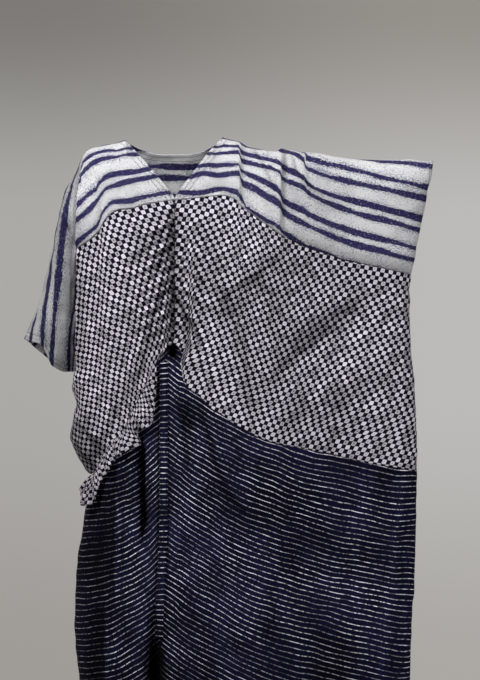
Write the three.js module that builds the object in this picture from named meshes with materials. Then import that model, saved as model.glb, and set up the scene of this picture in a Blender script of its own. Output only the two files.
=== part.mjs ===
// A V-neck caftan dress with batwing sleeves, kept in its worn shape: one arm
// hangs, the other is raised level. Units are mm; +Z is up, the front faces -Y
// and +X is the side of the raised arm. The origin is the shoulder line at the
// middle of the neck.
import * as THREE from "three";

// Driving sizes
const CLOTH = 2; // wall of every cloth piece
const SEAM_GAP = 0.3; // clear space left between two sewn pieces
const HEM_Z = -1365; // level of the floor-side hem
const WEB_TOP_Z = -218; // where the seam dives into the fold beside the hanging arm
const UNDERARM_Z = -452.4; // lower corner of the hanging cuff
const CENTRE_X = -9; // line of the gathered centre seam
const V_POINT_Z = -116; // bottom of the V neck
const BAND_WIDTH = 16; // narrow strip that covers the skirt's centre seam
const BAND_TOP_Z = -432;
const BAND_END_Z = -961;
const WEB_TUCK = 42; // how far the panel turns in behind its fold edge
const BACK_TUCK_SHARE = 0.35; // the back panel turns in less than the front one
const EDGE_REACH = 125; // how far in from a side its outline moves the cloth
const WEB_GAP = 17; // half the clear way between the two webs

const COLOURS = { striped: 0xd6d7dd, checked: 0x6d6a78, navy: 0x1c1a34 };

// Smooth value from a table of [place, value] rows sorted by rising place.
function along(table, at) {
  const last = table.length - 1;
  if (at <= table[0][0]) return table[0][1];
  if (at >= table[last][0]) return table[last][1];
  let i = 0;
  while (at > table[i + 1][0]) i += 1;
  const [x0, y0] = table[i];
  const [x1, y1] = table[i + 1];
  const slope = (a, b) => (b[1] - a[1]) / (b[0] - a[0]);
  const chord = slope(table[i], table[i + 1]);
  const before = i > 0 ? slope(table[i - 1], table[i]) : chord;
  const after = i + 2 <= last ? slope(table[i + 1], table[i + 2]) : chord;
  const m0 = before * chord > 0 ? (2 * before * chord) / (before + chord) : 0;
  const m1 = after * chord > 0 ? (2 * after * chord) / (after + chord) : 0;
  const h = x1 - x0;
  const t = (at - x0) / h;
  const s = 1 - t;
  return (
    y0 * (1 + 2 * t) * s * s + m0 * h * t * s * s + y1 * (3 - 2 * t) * t * t - m1 * h * t * t * s
  );
}
const mix = (a, b, t) => a + (b - a) * t;
const clamp = (t) => Math.min(1, Math.max(0, t));
const ease = (t) => clamp(t) ** 2 * (3 - 2 * clamp(t));

// Outline of the worn body tube seen from the front: [z, x]
const LEFT_EDGE = [
  [HEM_Z, -200], [-1043, -195], [-1014, -199], [-975, -203], [-936, -204], [-897, -203],
  [-848, -201], [-819, -199], [-790, -195], [-760, -189], [-722, -184], [-690, -176],
  [-654, -168], [-643.5, -179.5], [-628, -191], [-614, -199], [-595, -209], [-579, -212.5],
  [-556, -209], [-528, -205], [-517, -201.5], [-497, -205], [-470, -210.5],
  [WEB_TOP_Z, -207],
];
const RIGHT_EDGE = [
  [HEM_Z, 450], [-1053, 448.5], [-975, 450.5], [-916, 452.5], [-877, 456], [-819, 458],
  [-760, 460], [-682, 461], [-640, 462], [-585, 462], [-546, 460], [-497, 458],
  [-468, 456], [-409, 450.5], [-292, 447], [-263, 450.5],
];
// Depth of the cloth before and behind the shoulder plane: [z, depth]
const CHEST_DEPTH = [
  [HEM_Z, 168], [-1000, 156], [-650, 142], [-450, 134], [-350, 136], [-260, 132],
  [-180, 108], [-110, 76],
];
const BACK_DEPTH = [
  [HEM_Z, 135], [-1000, 124], [-650, 108], [-450, 84], [-260, 88], [-180, 80], [-110, 62],
];
const CURTAIN_DEPTH = [[HEM_Z, 64], [-650, 56], [-263, 52]];
// The centre seam wanders towards the hanging arm on its way down: [z, shift]
const CENTRE_SHIFT = [
  [HEM_Z, -34], [-961, -27.5], [-897, -26.5], [-858, -24.5], [-780, -21.5], [-720, -19.5],
  [-439, -19.5], [-410, -8], [-375, 0],
];

// Seams seen from the front: [x, z]
const FRONT_YOKE_SEAM = [
  [-207, WEB_TOP_Z], [-195, -210.5], [-175.5, -199], [-162, -187], [-154, -179.5],
  [-148, -167.7], [-142, -158], [-131, -146], [-113, -138.5], [-88, -136], [-78, -131],
  [-62, -127], [-39, -123], [CENTRE_X, -119.5], [39, -115], [84, -111], [97.5, -115],
  [111, -121], [117, -130], [131, -140.5], [162, -164], [179.5, -175.5], [195, -187],
  [214.5, -197], [234, -206.7], [253.5, -214.5], [292.5, -226], [312, -234], [351, -242],
  [390, -249.6], [450.5, -263.3],
];
const BACK_YOKE_SEAM = [
  [-207, WEB_TOP_Z], [-150, -176], [-60, -152], [60, -152], [160, -170], [283, -218],
  [450.5, -263.3],
];
const FRONT_WAIST_SEAM = [
  [-168, -654], [-156, -636], [-148, -616], [-136.5, -596.5], [-121, -579], [-105, -559.5],
  [-93.5, -534], [-78, -503], [-60.5, -468], [-45, -437], [-29, -413], [-17.5, -400],
  [-6, -400], [0, -406], [4, -440], [9, -468], [19.5, -483.5], [35, -493.5], [49, -507],
  [64.5, -522.5], [84, -534], [101.5, -548], [127, -561.5], [146, -573], [175.5, -585],
  [234, -598.7], [292.5, -610.4], [351, -626], [429, -639.6], [462, -645.5],
];
const BACK_WAIST_SEAM = [[-168, -654], [-60, -640], [120, -634], [462, -645.5]];

// Columns of the front, by their x; the first and last are the side seams.
const LEFT_COLUMNS = [
  -209, -206, -200, -190, -178, -166, -156, -149, -143, -135, -125, -113, -100, -90, -80, -70,
  -60, -49, -38, -29, -21, -15, CENTRE_X,
];
const RIGHT_COLUMNS = [
  CENTRE_X, -3, 3, 11, 22, 36, 52, 68, 85, 100, 109, 115, 120, 129, 144, 162, 180, 190, 196,
  203, 214, 231, 251, 273, 297, 321, 345, 369, 392, 412, 430, 445, 453, 456,
];
const BACK_COLUMNS = [
  -209, -204, -190, -165, -135, -100, -60, -20, 20, 60, 100, 140, 180, 225, 270, 315, 360, 400,
  430, 450, 456,
];
const FRONT_COLUMNS = [...LEFT_COLUMNS, ...RIGHT_COLUMNS.slice(1)];
const REFERENCE_LEFT = -209;
const REFERENCE_RIGHT = 456;
const shareOf = (x) =>
  Math.acos(1 - (2 * (x - REFERENCE_LEFT)) / (REFERENCE_RIGHT - REFERENCE_LEFT)) / Math.PI;

// Creases, each a line of [x, z] points with a half width and a rise; a lip
// falls away steeply on the side that lip names (-1 left, 1 right).
const YOKE_CREASES = [
  // raised side
  { path: [[118, 6], [117, -40], [116, -95], [118, -140]], width: 26, rise: 11, lip: 1 },
  { path: [[199, -8], [196, -68], [195, -200]], width: 30, rise: 12, lip: 1 },
  { path: [[164, -18], [178, -60], [197, -115]], width: 12, rise: 6, lip: 1 },
  { path: [[234, -24], [246, -86], [276, -110], [312, -135]], width: 16, rise: 7, lip: 1 },
  { path: [[76, -12], [66, -40], [55, -62]], width: 10, rise: 4 },
  // hanging side
  { path: [[-158, -80], [-154, -120], [-150, -172], [-156, -215]], width: 16, rise: 7, lip: -1 },
];
const FRONT_CREASES = [
  ...YOKE_CREASES,
  // bust and the soft drape that hangs from the raised arm
  { path: [[110, -235], [140, -275]], width: 70, rise: 16 },
  { path: [[82, -238], [109, -351], [137, -458], [150, -560]], width: 18, rise: -8 },
  { path: [[380, -312], [302, -370], [234, -413], [201, -448], [160, -517]], width: 22, rise: -9 },
  { path: [[322, -312], [214, -361], [146, -312]], width: 26, rise: 8 },
  { path: [[429, -370], [390, -429], [292, -487], [214, -503], [185, -546]], width: 28, rise: 8 },
  { path: [[322, -507], [302, -600]], width: 14, rise: -5 },
  { path: [[434, -270], [438, -420], [434, -640]], width: 10, rise: 6, lip: 1 },
  { path: [[22, -360], [52, -430], [86, -515]], width: 16, rise: 6 },
  { path: [[13, -341], [19, -400], [12, -440]], width: 9, rise: -8 },
  // hanging side of the checked front
  { path: [[-45, -200], [-85, -300], [-130, -360]], width: 22, rise: 7 },
  { path: [[-58, -385], [-66, -448], [-80, -482]], width: 9, rise: -9 },
  { path: [[-150, -380], [-152, -450]], width: 9, rise: -5 },
  { path: [[-101, -487], [-121, -546], [-146, -595], [-160, -636]], width: 13, rise: -11 },
  { path: [[-175, -468], [-187, -565], [-182, -622]], width: 24, rise: 13 },
  { path: [[-110, -420], [-140, -510], [-185, -560]], width: 14, rise: -7 },
  { path: [[-185, -240], [-190, -330], [-187, -430]], width: 14, rise: 6 },
  // skirt, hanging side
  { path: [[-78, -560], [-74, -605], [-68, -663], [-66, -721], [-68, -790]], width: 9, rise: -26 },
  { path: [[-122, -628], [-122, -760], [-123, -920]], width: 28, rise: 14, lip: 1 },
  { path: [[-140, -860], [-141, -1000], [-143, HEM_Z]], width: 34, rise: 14, lip: 1 },
  { path: [[-176, -740], [-178, -1000], [-180, HEM_Z]], width: 8, rise: 6 },
  { path: [[-155, -700], [-157, -880]], width: 8, rise: 5 },
  { path: [[-92, -960], [-88, -1120], [-90, HEM_Z]], width: 16, rise: 9 },
  // fold that opens under the end of the centre strip
  { path: [[-47, -880], [-46, -975], [-45, -1120], [-46, HEM_Z]], width: 13, rise: -32 },
  { path: [[-14, -1000], [-6, -1120], [-2, HEM_Z]], width: 14, rise: 9 },
  // skirt, raised side
  { path: [[49, -526], [68, -585], [88, -643], [127, -721], [160, -790]], width: 12, rise: 5 },
  { path: [[20, -720], [35, -829], [39, -877], [58, -975], [66, -1053], [72, HEM_Z]], width: 16, rise: 8 },
  { path: [[150, -860], [160, -1053], [165, HEM_Z]], width: 34, rise: 10 },
  { path: [[255, -820], [262, -1053], [262, HEM_Z]], width: 40, rise: 11 },
  { path: [[350, -900], [352, -1100], [352, HEM_Z]], width: 34, rise: 10 },
  { path: [[432, -650], [423, -740], [412, -838], [398, -940], [390, -1053], [386, HEM_Z]], width: 13, rise: 8, lip: -1 },
];
const BACK_CREASES = [
  { path: [[-60, -160], [-90, -400], [-120, -640]], width: 40, rise: 10 },
  { path: [[90, -165], [110, -400], [120, -640]], width: 50, rise: 9 },
  { path: [[200, -190], [260, -400], [300, -640]], width: 45, rise: 9 },
  { path: [[10, -180], [5, -420], [0, -640]], width: 34, rise: -8 },
  { path: [[-110, -660], [-105, -1000], [-104, HEM_Z]], width: 34, rise: 16 },
  { path: [[-30, -660], [-20, -1000], [-14, HEM_Z]], width: 34, rise: 15 },
  { path: [[60, -650], [72, -1000], [80, HEM_Z]], width: 38, rise: 15 },
  { path: [[160, -650], [170, -1000], [176, HEM_Z]], width: 38, rise: 14 },
  { path: [[260, -650], [268, -1000], [272, HEM_Z]], width: 36, rise: 13 },
  { path: [[350, -650], [356, -1000], [360, HEM_Z]], width: 30, rise: 12 },
];
// Gathers that fan out from the centre seam on both sides.
const GATHERS = { first: -140, last: -400, pitch: 22, reach: 78, rise: 6.5, slope: 0.55 };

// Rise of one crease at a place seen from the front.
function creaseRise(crease, x, z) {
  const { path, width, rise, lip } = crease;
  let best = Infinity;
  let side = 0;
  let travelled = 0;
  for (let i = 0; i + 1 < path.length; i += 1) {
    const [ax, az] = path[i];
    const [bx, bz] = path[i + 1];
    const dx = bx - ax;
    const dz = bz - az;
    const length = Math.hypot(dx, dz);
    const t = clamp(((x - ax) * dx + (z - az) * dz) / length ** 2);
    const away = Math.hypot(x - ax - dx * t, z - az - dz * t);
    if (away < best) {
      best = away;
      side = Math.sign(dz * (x - ax) - dx * (z - az)) * (dz > 0 ? 1 : -1);
      travelled = (i + t) / (path.length - 1);
    }
  }
  const openEnd = path[path.length - 1][1] === HEM_Z;
  const fade = ease(travelled * 5) * (openEnd ? 1 : ease((1 - travelled) * 5));
  const reach = lip && side !== lip ? width : lip ? width * 0.22 : width;
  return rise * Math.exp(-((best / reach) ** 2)) * (0.35 + 0.65 * fade) * (best < 4 * reach ? 1 : 0);
}
function gatherRise(x, z) {
  const off = x - CENTRE_X;
  const level = z + Math.abs(off) * GATHERS.slope;
  const inside = ease((GATHERS.first + 10 - level) / 25) * ease((level - GATHERS.last) / 30);
  const reach = off < 0 ? GATHERS.reach * 1.25 : GATHERS.reach;
  const fade = Math.exp(-((off / reach) ** 2) * 2.4) * (1 - 0.65 * Math.exp(-((off / 9) ** 2)));
  const wave = Math.cos((2 * Math.PI * level) / GATHERS.pitch + 0.9 * Math.sin(level / 37));
  const groove = -9 * Math.exp(-((off / 9) ** 2)) * ease((-118 - z) / 20) * ease((z + 440) / 30);
  return GATHERS.rise * fade * wave * inside + groove;
}
function frontRise(x, z) {
  return FRONT_CREASES.reduce((sum, c) => sum + creaseRise(c, x, z), gatherRise(x, z));
}
const backRise = (x, z) => BACK_CREASES.reduce((sum, c) => sum + creaseRise(c, x, z), 0);

// A point of the body tube; face is -1 for the front and 1 for the back.
function bodyPoint(face, share, z) {
  const left = along(LEFT_EDGE, z);
  const right = along(RIGHT_EDGE, z);
  const even = mix(REFERENCE_LEFT, REFERENCE_RIGHT, (1 - Math.cos(Math.PI * share)) / 2);
  const nearLeft = clamp(1 - (even - REFERENCE_LEFT) / EDGE_REACH) ** 2;
  const nearRight = clamp(1 - (REFERENCE_RIGHT - even) / EDGE_REACH) ** 2;
  const straight =
    even + (left - REFERENCE_LEFT) * nearLeft + (right - REFERENCE_RIGHT) * nearRight;
  const middle = clamp(1 - (straight / 170) ** 2) ** 2;
  const tuckHold = ease((z - UNDERARM_Z + 30) / 60);
  const backShare = face < 0 ? 1 : mix(1, BACK_TUCK_SHARE, ease((z - UNDERARM_Z) / 60));
  const tuck = WEB_TUCK * tuckHold * backShare * clamp(1 - share / 0.08) ** 2;
  const x = straight + (face < 0 ? along(CENTRE_SHIFT, z) * middle : 0) + tuck;
  const body = along(face < 0 ? CHEST_DEPTH : BACK_DEPTH, z);
  const drape = ease((straight - 110) / 240);
  const depth = mix(body, along(CURTAIN_DEPTH, z), drape);
  const round = Math.sin(Math.PI * share) ** 0.55;
  const rise = face < 0 ? frontRise(x, z) : backRise(x, z);
  const hold = ease(Math.sin(Math.PI * share) * 5);
  const apart = WEB_GAP * ease((z - UNDERARM_Z) / 60) * clamp(1 - share / 0.1);
  return new THREE.Vector3(x, face * (depth * round + rise * hold + apart), z);
}
// The same point, found for a seam that is given by its height over x. Front
// and back seams meet at the two sides, so their ends are taken as written.
function pointOnSeam(face, share, seam) {
  if (share === 0) return bodyPoint(face, share, seam[0][1]);
  if (share === 1) return bodyPoint(face, share, seam.at(-1)[1]);
  let z = along(seam, mix(REFERENCE_LEFT, REFERENCE_RIGHT, (1 - Math.cos(Math.PI * share)) / 2));
  for (let turn = 0; turn < 12; turn += 1) {
    z = mix(z, along(seam, bodyPoint(face, share, z).x), 0.6);
  }
  return bodyPoint(face, share, z);
}

// Rows of the checked panels; one row meets the underarm corner exactly.
const UNDERARM_SHARE = (WEB_TOP_Z - UNDERARM_Z) / (WEB_TOP_Z - FRONT_WAIST_SEAM[0][1]);
function checkedRows(count) {
  const upper = count / 2;
  return Array.from({ length: count + 1 }, (_, r) =>
    r <= upper
      ? (r / upper) * UNDERARM_SHARE
      : mix(UNDERARM_SHARE, 1, (r - upper) / (count - upper)),
  );
}
const evenRows = (count) => Array.from({ length: count + 1 }, (_, r) => r / count);
const SIDE_ROWS = checkedRows(16);
const MIDDLE_ROWS = checkedRows(24);
const GATHER_ROWS = checkedRows(64);
const SKIRT_ROWS = evenRows(11);

// Sheets: points in columns, joined by triangles wherever two columns meet.
function zip(left, right, turned, triangles) {
  let i = 0;
  let j = 0;
  const put = (a, b, c) => triangles.push(turned ? [a, c, b] : [a, b, c]);
  while (i + 1 < left.length || j + 1 < right.length) {
    const nextLeft = i + 1 < left.length ? left[i + 1].at : Infinity;
    const nextRight = j + 1 < right.length ? right[j + 1].at : Infinity;
    if (Math.abs(nextLeft - nextRight) < 1e-9) {
      put(left[i].point, left[i + 1].point, right[j + 1].point);
      put(left[i].point, right[j + 1].point, right[j].point);
      i += 1;
      j += 1;
    } else if (nextLeft < nextRight) {
      put(left[i].point, left[i + 1].point, right[j].point);
      i += 1;
    } else {
      put(left[i].point, right[j + 1].point, right[j].point);
      j += 1;
    }
  }
}
function sheetOf(columns, turned = false) {
  const triangles = [];
  for (let c = 0; c + 1 < columns.length; c += 1) zip(columns[c], columns[c + 1], turned, triangles);
  return triangles;
}
const columnOf = (rows, pointAt) => rows.map((at) => ({ at, point: pointAt(at) }));

function bodyColumn(face, x, rows, topSeam, bottomSeam) {
  const share = x === REFERENCE_LEFT ? 0 : x === REFERENCE_RIGHT ? 1 : shareOf(x);
  const top = pointOnSeam(face, share, topSeam).z;
  const bottom = bottomSeam ? pointOnSeam(face, share, bottomSeam).z : HEM_Z;
  return columnOf(rows, (at) => bodyPoint(face, share, mix(top, bottom, at)));
}
function checkedRowsAt(x) {
  const off = Math.abs(x - CENTRE_X);
  return off < 60 ? GATHER_ROWS : off < 135 ? MIDDLE_ROWS : SIDE_ROWS;
}

// The yoke with both sleeves: every column is an arch from the front seam over
// the shoulder or the arm to the back seam. Ridge rows: [share of way, x, z]
const HANGING_RIDGE = [
  [0, -304, -388], [0.1, -288.6, -351], [0.2, -273, -312], [0.3, -263, -273],
  [0.4, -253.5, -234], [0.5, -245.7, -195], [0.6, -238, -156], [0.68, -228, -117],
  [0.73, -222, -97.5], [0.78, -210.5, -78], [0.82, -201, -58.5], [0.86, -193, -38],
  [0.9, -179.5, -19.5], [0.94, -150, -10], [0.97, -123, -6], [1, -107, 0],
];
const RAISED_RIDGE = [
  [0, 83, 6.8], [0.044, 101, -1], [0.083, 117, -4], [0.116, 131, -11.7], [0.168, 152, -17.6],
  [0.235, 179.4, -23.4], [0.259, 189, -24], [0.278, 197, -16.6], [0.32, 214.5, -21.5],
  [0.39, 244, -25.4], [0.487, 283, -29.3], [0.606, 331.5, -38], [0.89, 448.5, -39],
  [1, 493.4, -41],
];
const RIDGE_Y = 6;
const HANGING_WEB_SHARE = 0.62; // part of the hanging ridge that the web's columns reach
const SLEEVE_BULGE = 66;
// The hanging cuff's edge waves: [share of way in from the outer fold, drop]
const FRONT_CUFF_DIP = [[0, 0], [0.15, 5], [0.3, 9], [0.4, -1], [0.5, -20], [0.64, -21], [0.8, -12], [1, 0]];
const BACK_CUFF_DIP = [[0, 0], [0.2, -9], [0.45, -14], [0.7, -6], [1, 0]];
const CUFF_DIP_REACH = 0.3; // share of the sleeve over which that wave dies out
const CUFF_BULGE = 34; // how far the raised cuff stands open to each side
const BACK_NECK_Z = -26;
const pick = (table, column) => table.map((row) => [row[0], row[column]]);
const HANGING_X = pick(HANGING_RIDGE, 1);
const HANGING_Z = pick(HANGING_RIDGE, 2);
const RAISED_X = pick(RAISED_RIDGE, 1);
const RAISED_Z = pick(RAISED_RIDGE, 2);
const ARCH_ROWS = evenRows(9);
const NECK_LEFT_FOOT = -100; // columns between these two feet end at the neck edge
const NECK_RIGHT_FOOT = 100;
const NECK_TOP = 4; // the neck's sides stand this much under the ridge they rise to
const CORNER_EASE = 0.42; // keeps the front and back corners of a cuff apart
const BACK_RIM_ROW = 0.9; // last row of the back before the ridge

// One half of an arch, from its foot on a seam (at 0) to its head (at 1).
function archColumn(face, foot, head, sleeve, squareness, rows = ARCH_ROWS, cuff = 0, sag = 0) {
  return columnOf(rows, (at) => {
    const angle = (at * Math.PI) / 2;
    const power = 2 / squareness;
    const rise = mix(Math.sin(angle) ** power, Math.sin(angle) ** 0.8, sleeve);
    const fall = mix(Math.cos(angle) ** power, Math.cos(angle), sleeve);
    const room = Math.max(0, SLEEVE_BULGE - 0.6 * Math.max(0, Math.abs(foot.y) - WEB_GAP));
    const round = Math.sin(Math.PI * at) ** 1.35;
    const bulge = face * (room * sleeve * round + CUFF_BULGE * cuff * Math.sin(Math.PI * at ** 1.2));
    const place = new THREE.Vector3(
      mix(foot.x, head.x, rise),
      head.y + (foot.y - head.y) * fall + bulge,
      mix(foot.z, head.z, rise),
    );
    if (sag > 0) place.z += sag * along(face < 0 ? FRONT_CUFF_DIP : BACK_CUFF_DIP, 1 - rise);
    if (at > 0 && at < 1) {
      const lift = face < 0 ? yokeRise(place.x, place.z) - yokeRise(foot.x, foot.z) : 0;
      place.y += face * lift * Math.sin(Math.PI * Math.min(at, 0.5)) * ease((1 - at) * 6);
    }
    return place;
  });
}
const yokeRise = (x, z) =>
  YOKE_CREASES.reduce((sum, c) => sum + creaseRise(c, x, z), 0);

// A column below the neck: it follows the chest or the back up to the neck edge.
function neckColumn(face, foot, x0) {
  const half = x0 < CENTRE_X ? NECK_LEFT_FOOT : NECK_RIGHT_FOOT;
  const side = x0 < CENTRE_X ? { x: -107, z: 0 } : { x: 83, z: 6.8 };
  const t = clamp((x0 - CENTRE_X) / (half - CENTRE_X));
  const headX = mix(CENTRE_X, side.x, t);
  const headZ = face < 0 ? mix(V_POINT_Z, side.z, t ** 0.93) : mix(BACK_NECK_Z, side.z, t ** 3);
  return columnOf(ARCH_ROWS, (at) => {
    const z = mix(foot.z, headZ, at);
    const way = clamp((z - foot.z) / (side.z + NECK_TOP - foot.z));
    const y = mix(foot.y, RIDGE_Y, 1 - Math.sqrt(1 - way ** 2));
    return new THREE.Vector3(mix(foot.x, headX, at), y, z);
  });
}
function ridgeHead(share, hanging) {
  return new THREE.Vector3(
    along(hanging ? HANGING_X : RAISED_X, share),
    RIDGE_Y,
    along(hanging ? HANGING_Z : RAISED_Z, share),
  );
}
const shareAt = (x) => (x === REFERENCE_LEFT ? 0 : x === REFERENCE_RIGHT ? 1 : shareOf(x));

// Columns of one half of the yoke, each marked with its side and its share of
// the ridge on that side.
function yokeColumns(face) {
  const seam = face < 0 ? FRONT_YOKE_SEAM : BACK_YOKE_SEAM;
  const waist = face < 0 ? FRONT_WAIST_SEAM : BACK_WAIST_SEAM;
  const rows = face < 0 ? ARCH_ROWS : ARCH_ROWS.filter((at) => at < BACK_RIM_ROW);
  const columns = [];
  const add = (side, share, column) => columns.push({ side, share, column });
  const webRows = SIDE_ROWS.filter((v) => v <= UNDERARM_SHARE + 1e-9);
  const webTop = pointOnSeam(face, 0, seam).z;
  const webBottom = pointOnSeam(face, 0, waist).z;
  for (let w = webRows.length - 1; w > 0; w -= 1) {
    const foot = bodyPoint(face, 0, mix(webTop, webBottom, webRows[w]));
    const share = HANGING_WEB_SHARE * (1 - w / (webRows.length - 1));
    if (share === 0) foot.y += face * CORNER_EASE;
    const sag = clamp(1 - share / CUFF_DIP_REACH) ** 2;
    const head = ridgeHead(share, true);
    add("hanging", share, archColumn(face, foot, head, 1, 2, rows, 0, sag));
  }
  for (const x of face < 0 ? FRONT_COLUMNS : BACK_COLUMNS) {
    const foot = pointOnSeam(face, shareAt(x), seam);
    if (x === REFERENCE_RIGHT) foot.y += face * CORNER_EASE;
    if (x <= NECK_LEFT_FOOT) {
      const way = (x - REFERENCE_LEFT) / (NECK_LEFT_FOOT - REFERENCE_LEFT);
      const share = mix(HANGING_WEB_SHARE, 1, way);
      const head = ridgeHead(share, true);
      add("hanging", share, archColumn(face, foot, head, 1 - ease(way * 1.5), 2, rows));
    } else if (x >= NECK_RIGHT_FOOT) {
      const way = (x - NECK_RIGHT_FOOT) / (REFERENCE_RIGHT - NECK_RIGHT_FOOT);
      const squareness = mix(2, 4, ease(way * 3));
      const cuff = ease((way - 0.6) / 0.4);
      add("raised", way, archColumn(face, foot, ridgeHead(way, false), 0, squareness, rows, cuff));
    } else {
      add("neck", 0, neckColumn(face, foot, x));
    }
  }
  return columns;
}
function yokeTriangles() {
  const front = yokeColumns(-1);
  const back = yokeColumns(1);
  const triangles = sheetOf(front.map((c) => c.column), true);
  const trimmed = (c) => c.column.filter((node) => node.at < BACK_RIM_ROW);
  for (const side of ["hanging", "raised"]) {
    const frontSide = front.filter((c) => c.side === side);
    const backSide = back.filter((c) => c.side === side);
    const heads = frontSide.map((c) => ({ at: c.share, point: c.column.at(-1).point }));
    const rims = backSide.map((c) => ({ at: c.share, point: trimmed(c).at(-1).point }));
    triangles.push(...sheetOf(backSide.map(trimmed), false));
    zip(heads, rims, false, triangles);
  }
  const firstNeck = back.findIndex((c) => c.side === "neck") - 1;
  const lastNeck = back.findLastIndex((c) => c.side === "neck") + 1;
  const neck = back.slice(firstNeck, lastNeck + 1).map((c) => c.column);
  triangles.push(...sheetOf(neck, false));
  return triangles;
}

// The sewn sheets of the garment's single surface.
const frontPart = (from, to, column) =>
  FRONT_COLUMNS.filter((x) => x >= from && x <= to).map(column);
const checkedFront = (x) =>
  bodyColumn(-1, x, checkedRowsAt(x), FRONT_YOKE_SEAM, FRONT_WAIST_SEAM);
const skirtFront = (x) => bodyColumn(-1, x, SKIRT_ROWS, FRONT_WAIST_SEAM, null);
const checkedBack = (x) => bodyColumn(1, x, SIDE_ROWS, BACK_YOKE_SEAM, BACK_WAIST_SEAM);
const skirtBack = (x) => bodyColumn(1, x, SKIRT_ROWS, BACK_WAIST_SEAM, null);
const SHEETS = {
  yoke_with_sleeves: { cloth: "striped", triangles: yokeTriangles() },
  checked_front_hanging_side: {
    cloth: "checked",
    triangles: sheetOf(frontPart(REFERENCE_LEFT, CENTRE_X, checkedFront)),
  },
  checked_front_raised_side: {
    cloth: "checked",
    triangles: sheetOf(frontPart(CENTRE_X, REFERENCE_RIGHT, checkedFront)),
  },
  checked_back: { cloth: "checked", triangles: sheetOf(BACK_COLUMNS.map(checkedBack), true) },
  skirt_front_hanging_side: {
    cloth: "navy",
    triangles: sheetOf(frontPart(REFERENCE_LEFT, CENTRE_X, skirtFront)),
  },
  skirt_front_raised_side: {
    cloth: "navy",
    triangles: sheetOf(frontPart(CENTRE_X, REFERENCE_RIGHT, skirtFront)),
  },
  skirt_back: { cloth: "navy", triangles: sheetOf(BACK_COLUMNS.map(skirtBack), true) },
};

// Outward directions, shared by all sheets that meet at a point.
const keyOf = (v) => [v.x, v.y, v.z].map((c) => Math.round(c * 1000)).join();
function addNormals(triangles, sums) {
  for (const corners of triangles) {
    const [a, b, c] = corners;
    const across = b.clone().sub(a).cross(c.clone().sub(a));
    if (across.length() < 1e-6) continue;
    for (const corner of corners) {
      const key = keyOf(corner);
      if (!sums.has(key)) sums.set(key, new THREE.Vector3());
      sums.get(key).add(across);
    }
  }
}

// A closed wall: the sheet, its twin inside, and the edge between the two,
// drawn back from every seam by half the gap. Where a seam lies at the bottom
// of a sharp fold each piece keeps its own direction there, and its wall is
// thin at a corner that the fold turns right over.
const FOLD_AGREEMENT = 0.5; // least cosine between a piece's direction and the seam's
const FOLD_GAP = 1.2;
const CORNER_WALL = 0.15;
function wallOf(triangles, normals, thickness) {
  const own = new Map();
  addNormals(triangles, own);
  const points = new Map();
  const faces = [];
  for (const corners of triangles) {
    const keys = corners.map(keyOf);
    if (new Set(keys).size < 3) continue;
    corners.forEach((corner, i) => {
      if (points.has(keys[i])) return;
      points.set(keys[i], { index: points.size, at: corner, back: null, facings: [] });
    });
    faces.push(keys);
  }
  const edges = new Map();
  for (const keys of faces) {
    keys.forEach((key, i) => {
      const next = keys[(i + 1) % 3];
      const twin = next + "|" + key;
      if (edges.has(twin)) edges.delete(twin);
      else edges.set(key + "|" + next, [key, next, keys[(i + 2) % 3]]);
    });
  }
  for (const keys of faces) {
    const [a, b, c] = keys.map((key) => points.get(key));
    const facing = b.at.clone().sub(a.at).cross(c.at.clone().sub(a.at)).normalize();
    for (const corner of [a, b, c]) corner.facings.push(facing);
  }
  for (const [from, to, third] of edges.values()) {
    const a = points.get(from);
    const b = points.get(to);
    const edge = b.at.clone().sub(a.at).normalize();
    const inward = points.get(third).at.clone().sub(a.at);
    inward.addScaledVector(edge, -inward.dot(edge)).normalize();
    for (const end of [a, b]) end.back = (end.back ?? []).concat([inward]);
  }
  const position = [];
  const inner = [];
  for (const [key, point] of points) {
    const shared = normals.get(key).clone().normalize();
    const alone = own.get(key).clone().normalize();
    const folded = point.back !== null && shared.dot(alone) < FOLD_AGREEMENT;
    const normal = folded ? alone : shared;
    const turnedOver = point.back !== null && point.facings.some((facing) => facing.dot(normal) < 0);
    const moved = point.at.clone();
    if (point.back) {
      const [first, second] = [point.back[0], point.back.at(-1)];
      const sum = first.clone().add(second);
      const scale = Math.max(0.6, 1 + first.dot(second));
      moved.addScaledVector(sum, (folded ? FOLD_GAP : SEAM_GAP) / 2 / scale);
    }
    position.push(...moved.toArray());
    const wall = turnedOver ? CORNER_WALL : thickness;
    inner.push(...moved.addScaledVector(normal, -wall).toArray());
  }
  const count = points.size;
  const index = [];
  for (const keys of faces) {
    const [a, b, c] = keys.map((key) => points.get(key).index);
    index.push(a, b, c, a + count, c + count, b + count);
  }
  // both pieces at a seam split its edge the same way
  for (const [from, to] of edges.values()) {
    const a = points.get(from).index;
    const b = points.get(to).index;
    if (from < to) index.push(a, a + count, b + count, a, b + count, b);
    else index.push(a, a + count, b, a + count, b + count, b);
  }
  const geometry = new THREE.BufferGeometry();
  geometry.setAttribute("position", new THREE.Float32BufferAttribute([...position, ...inner], 3));
  geometry.setIndex(index);
  geometry.computeVertexNormals();
  return geometry;
}

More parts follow.
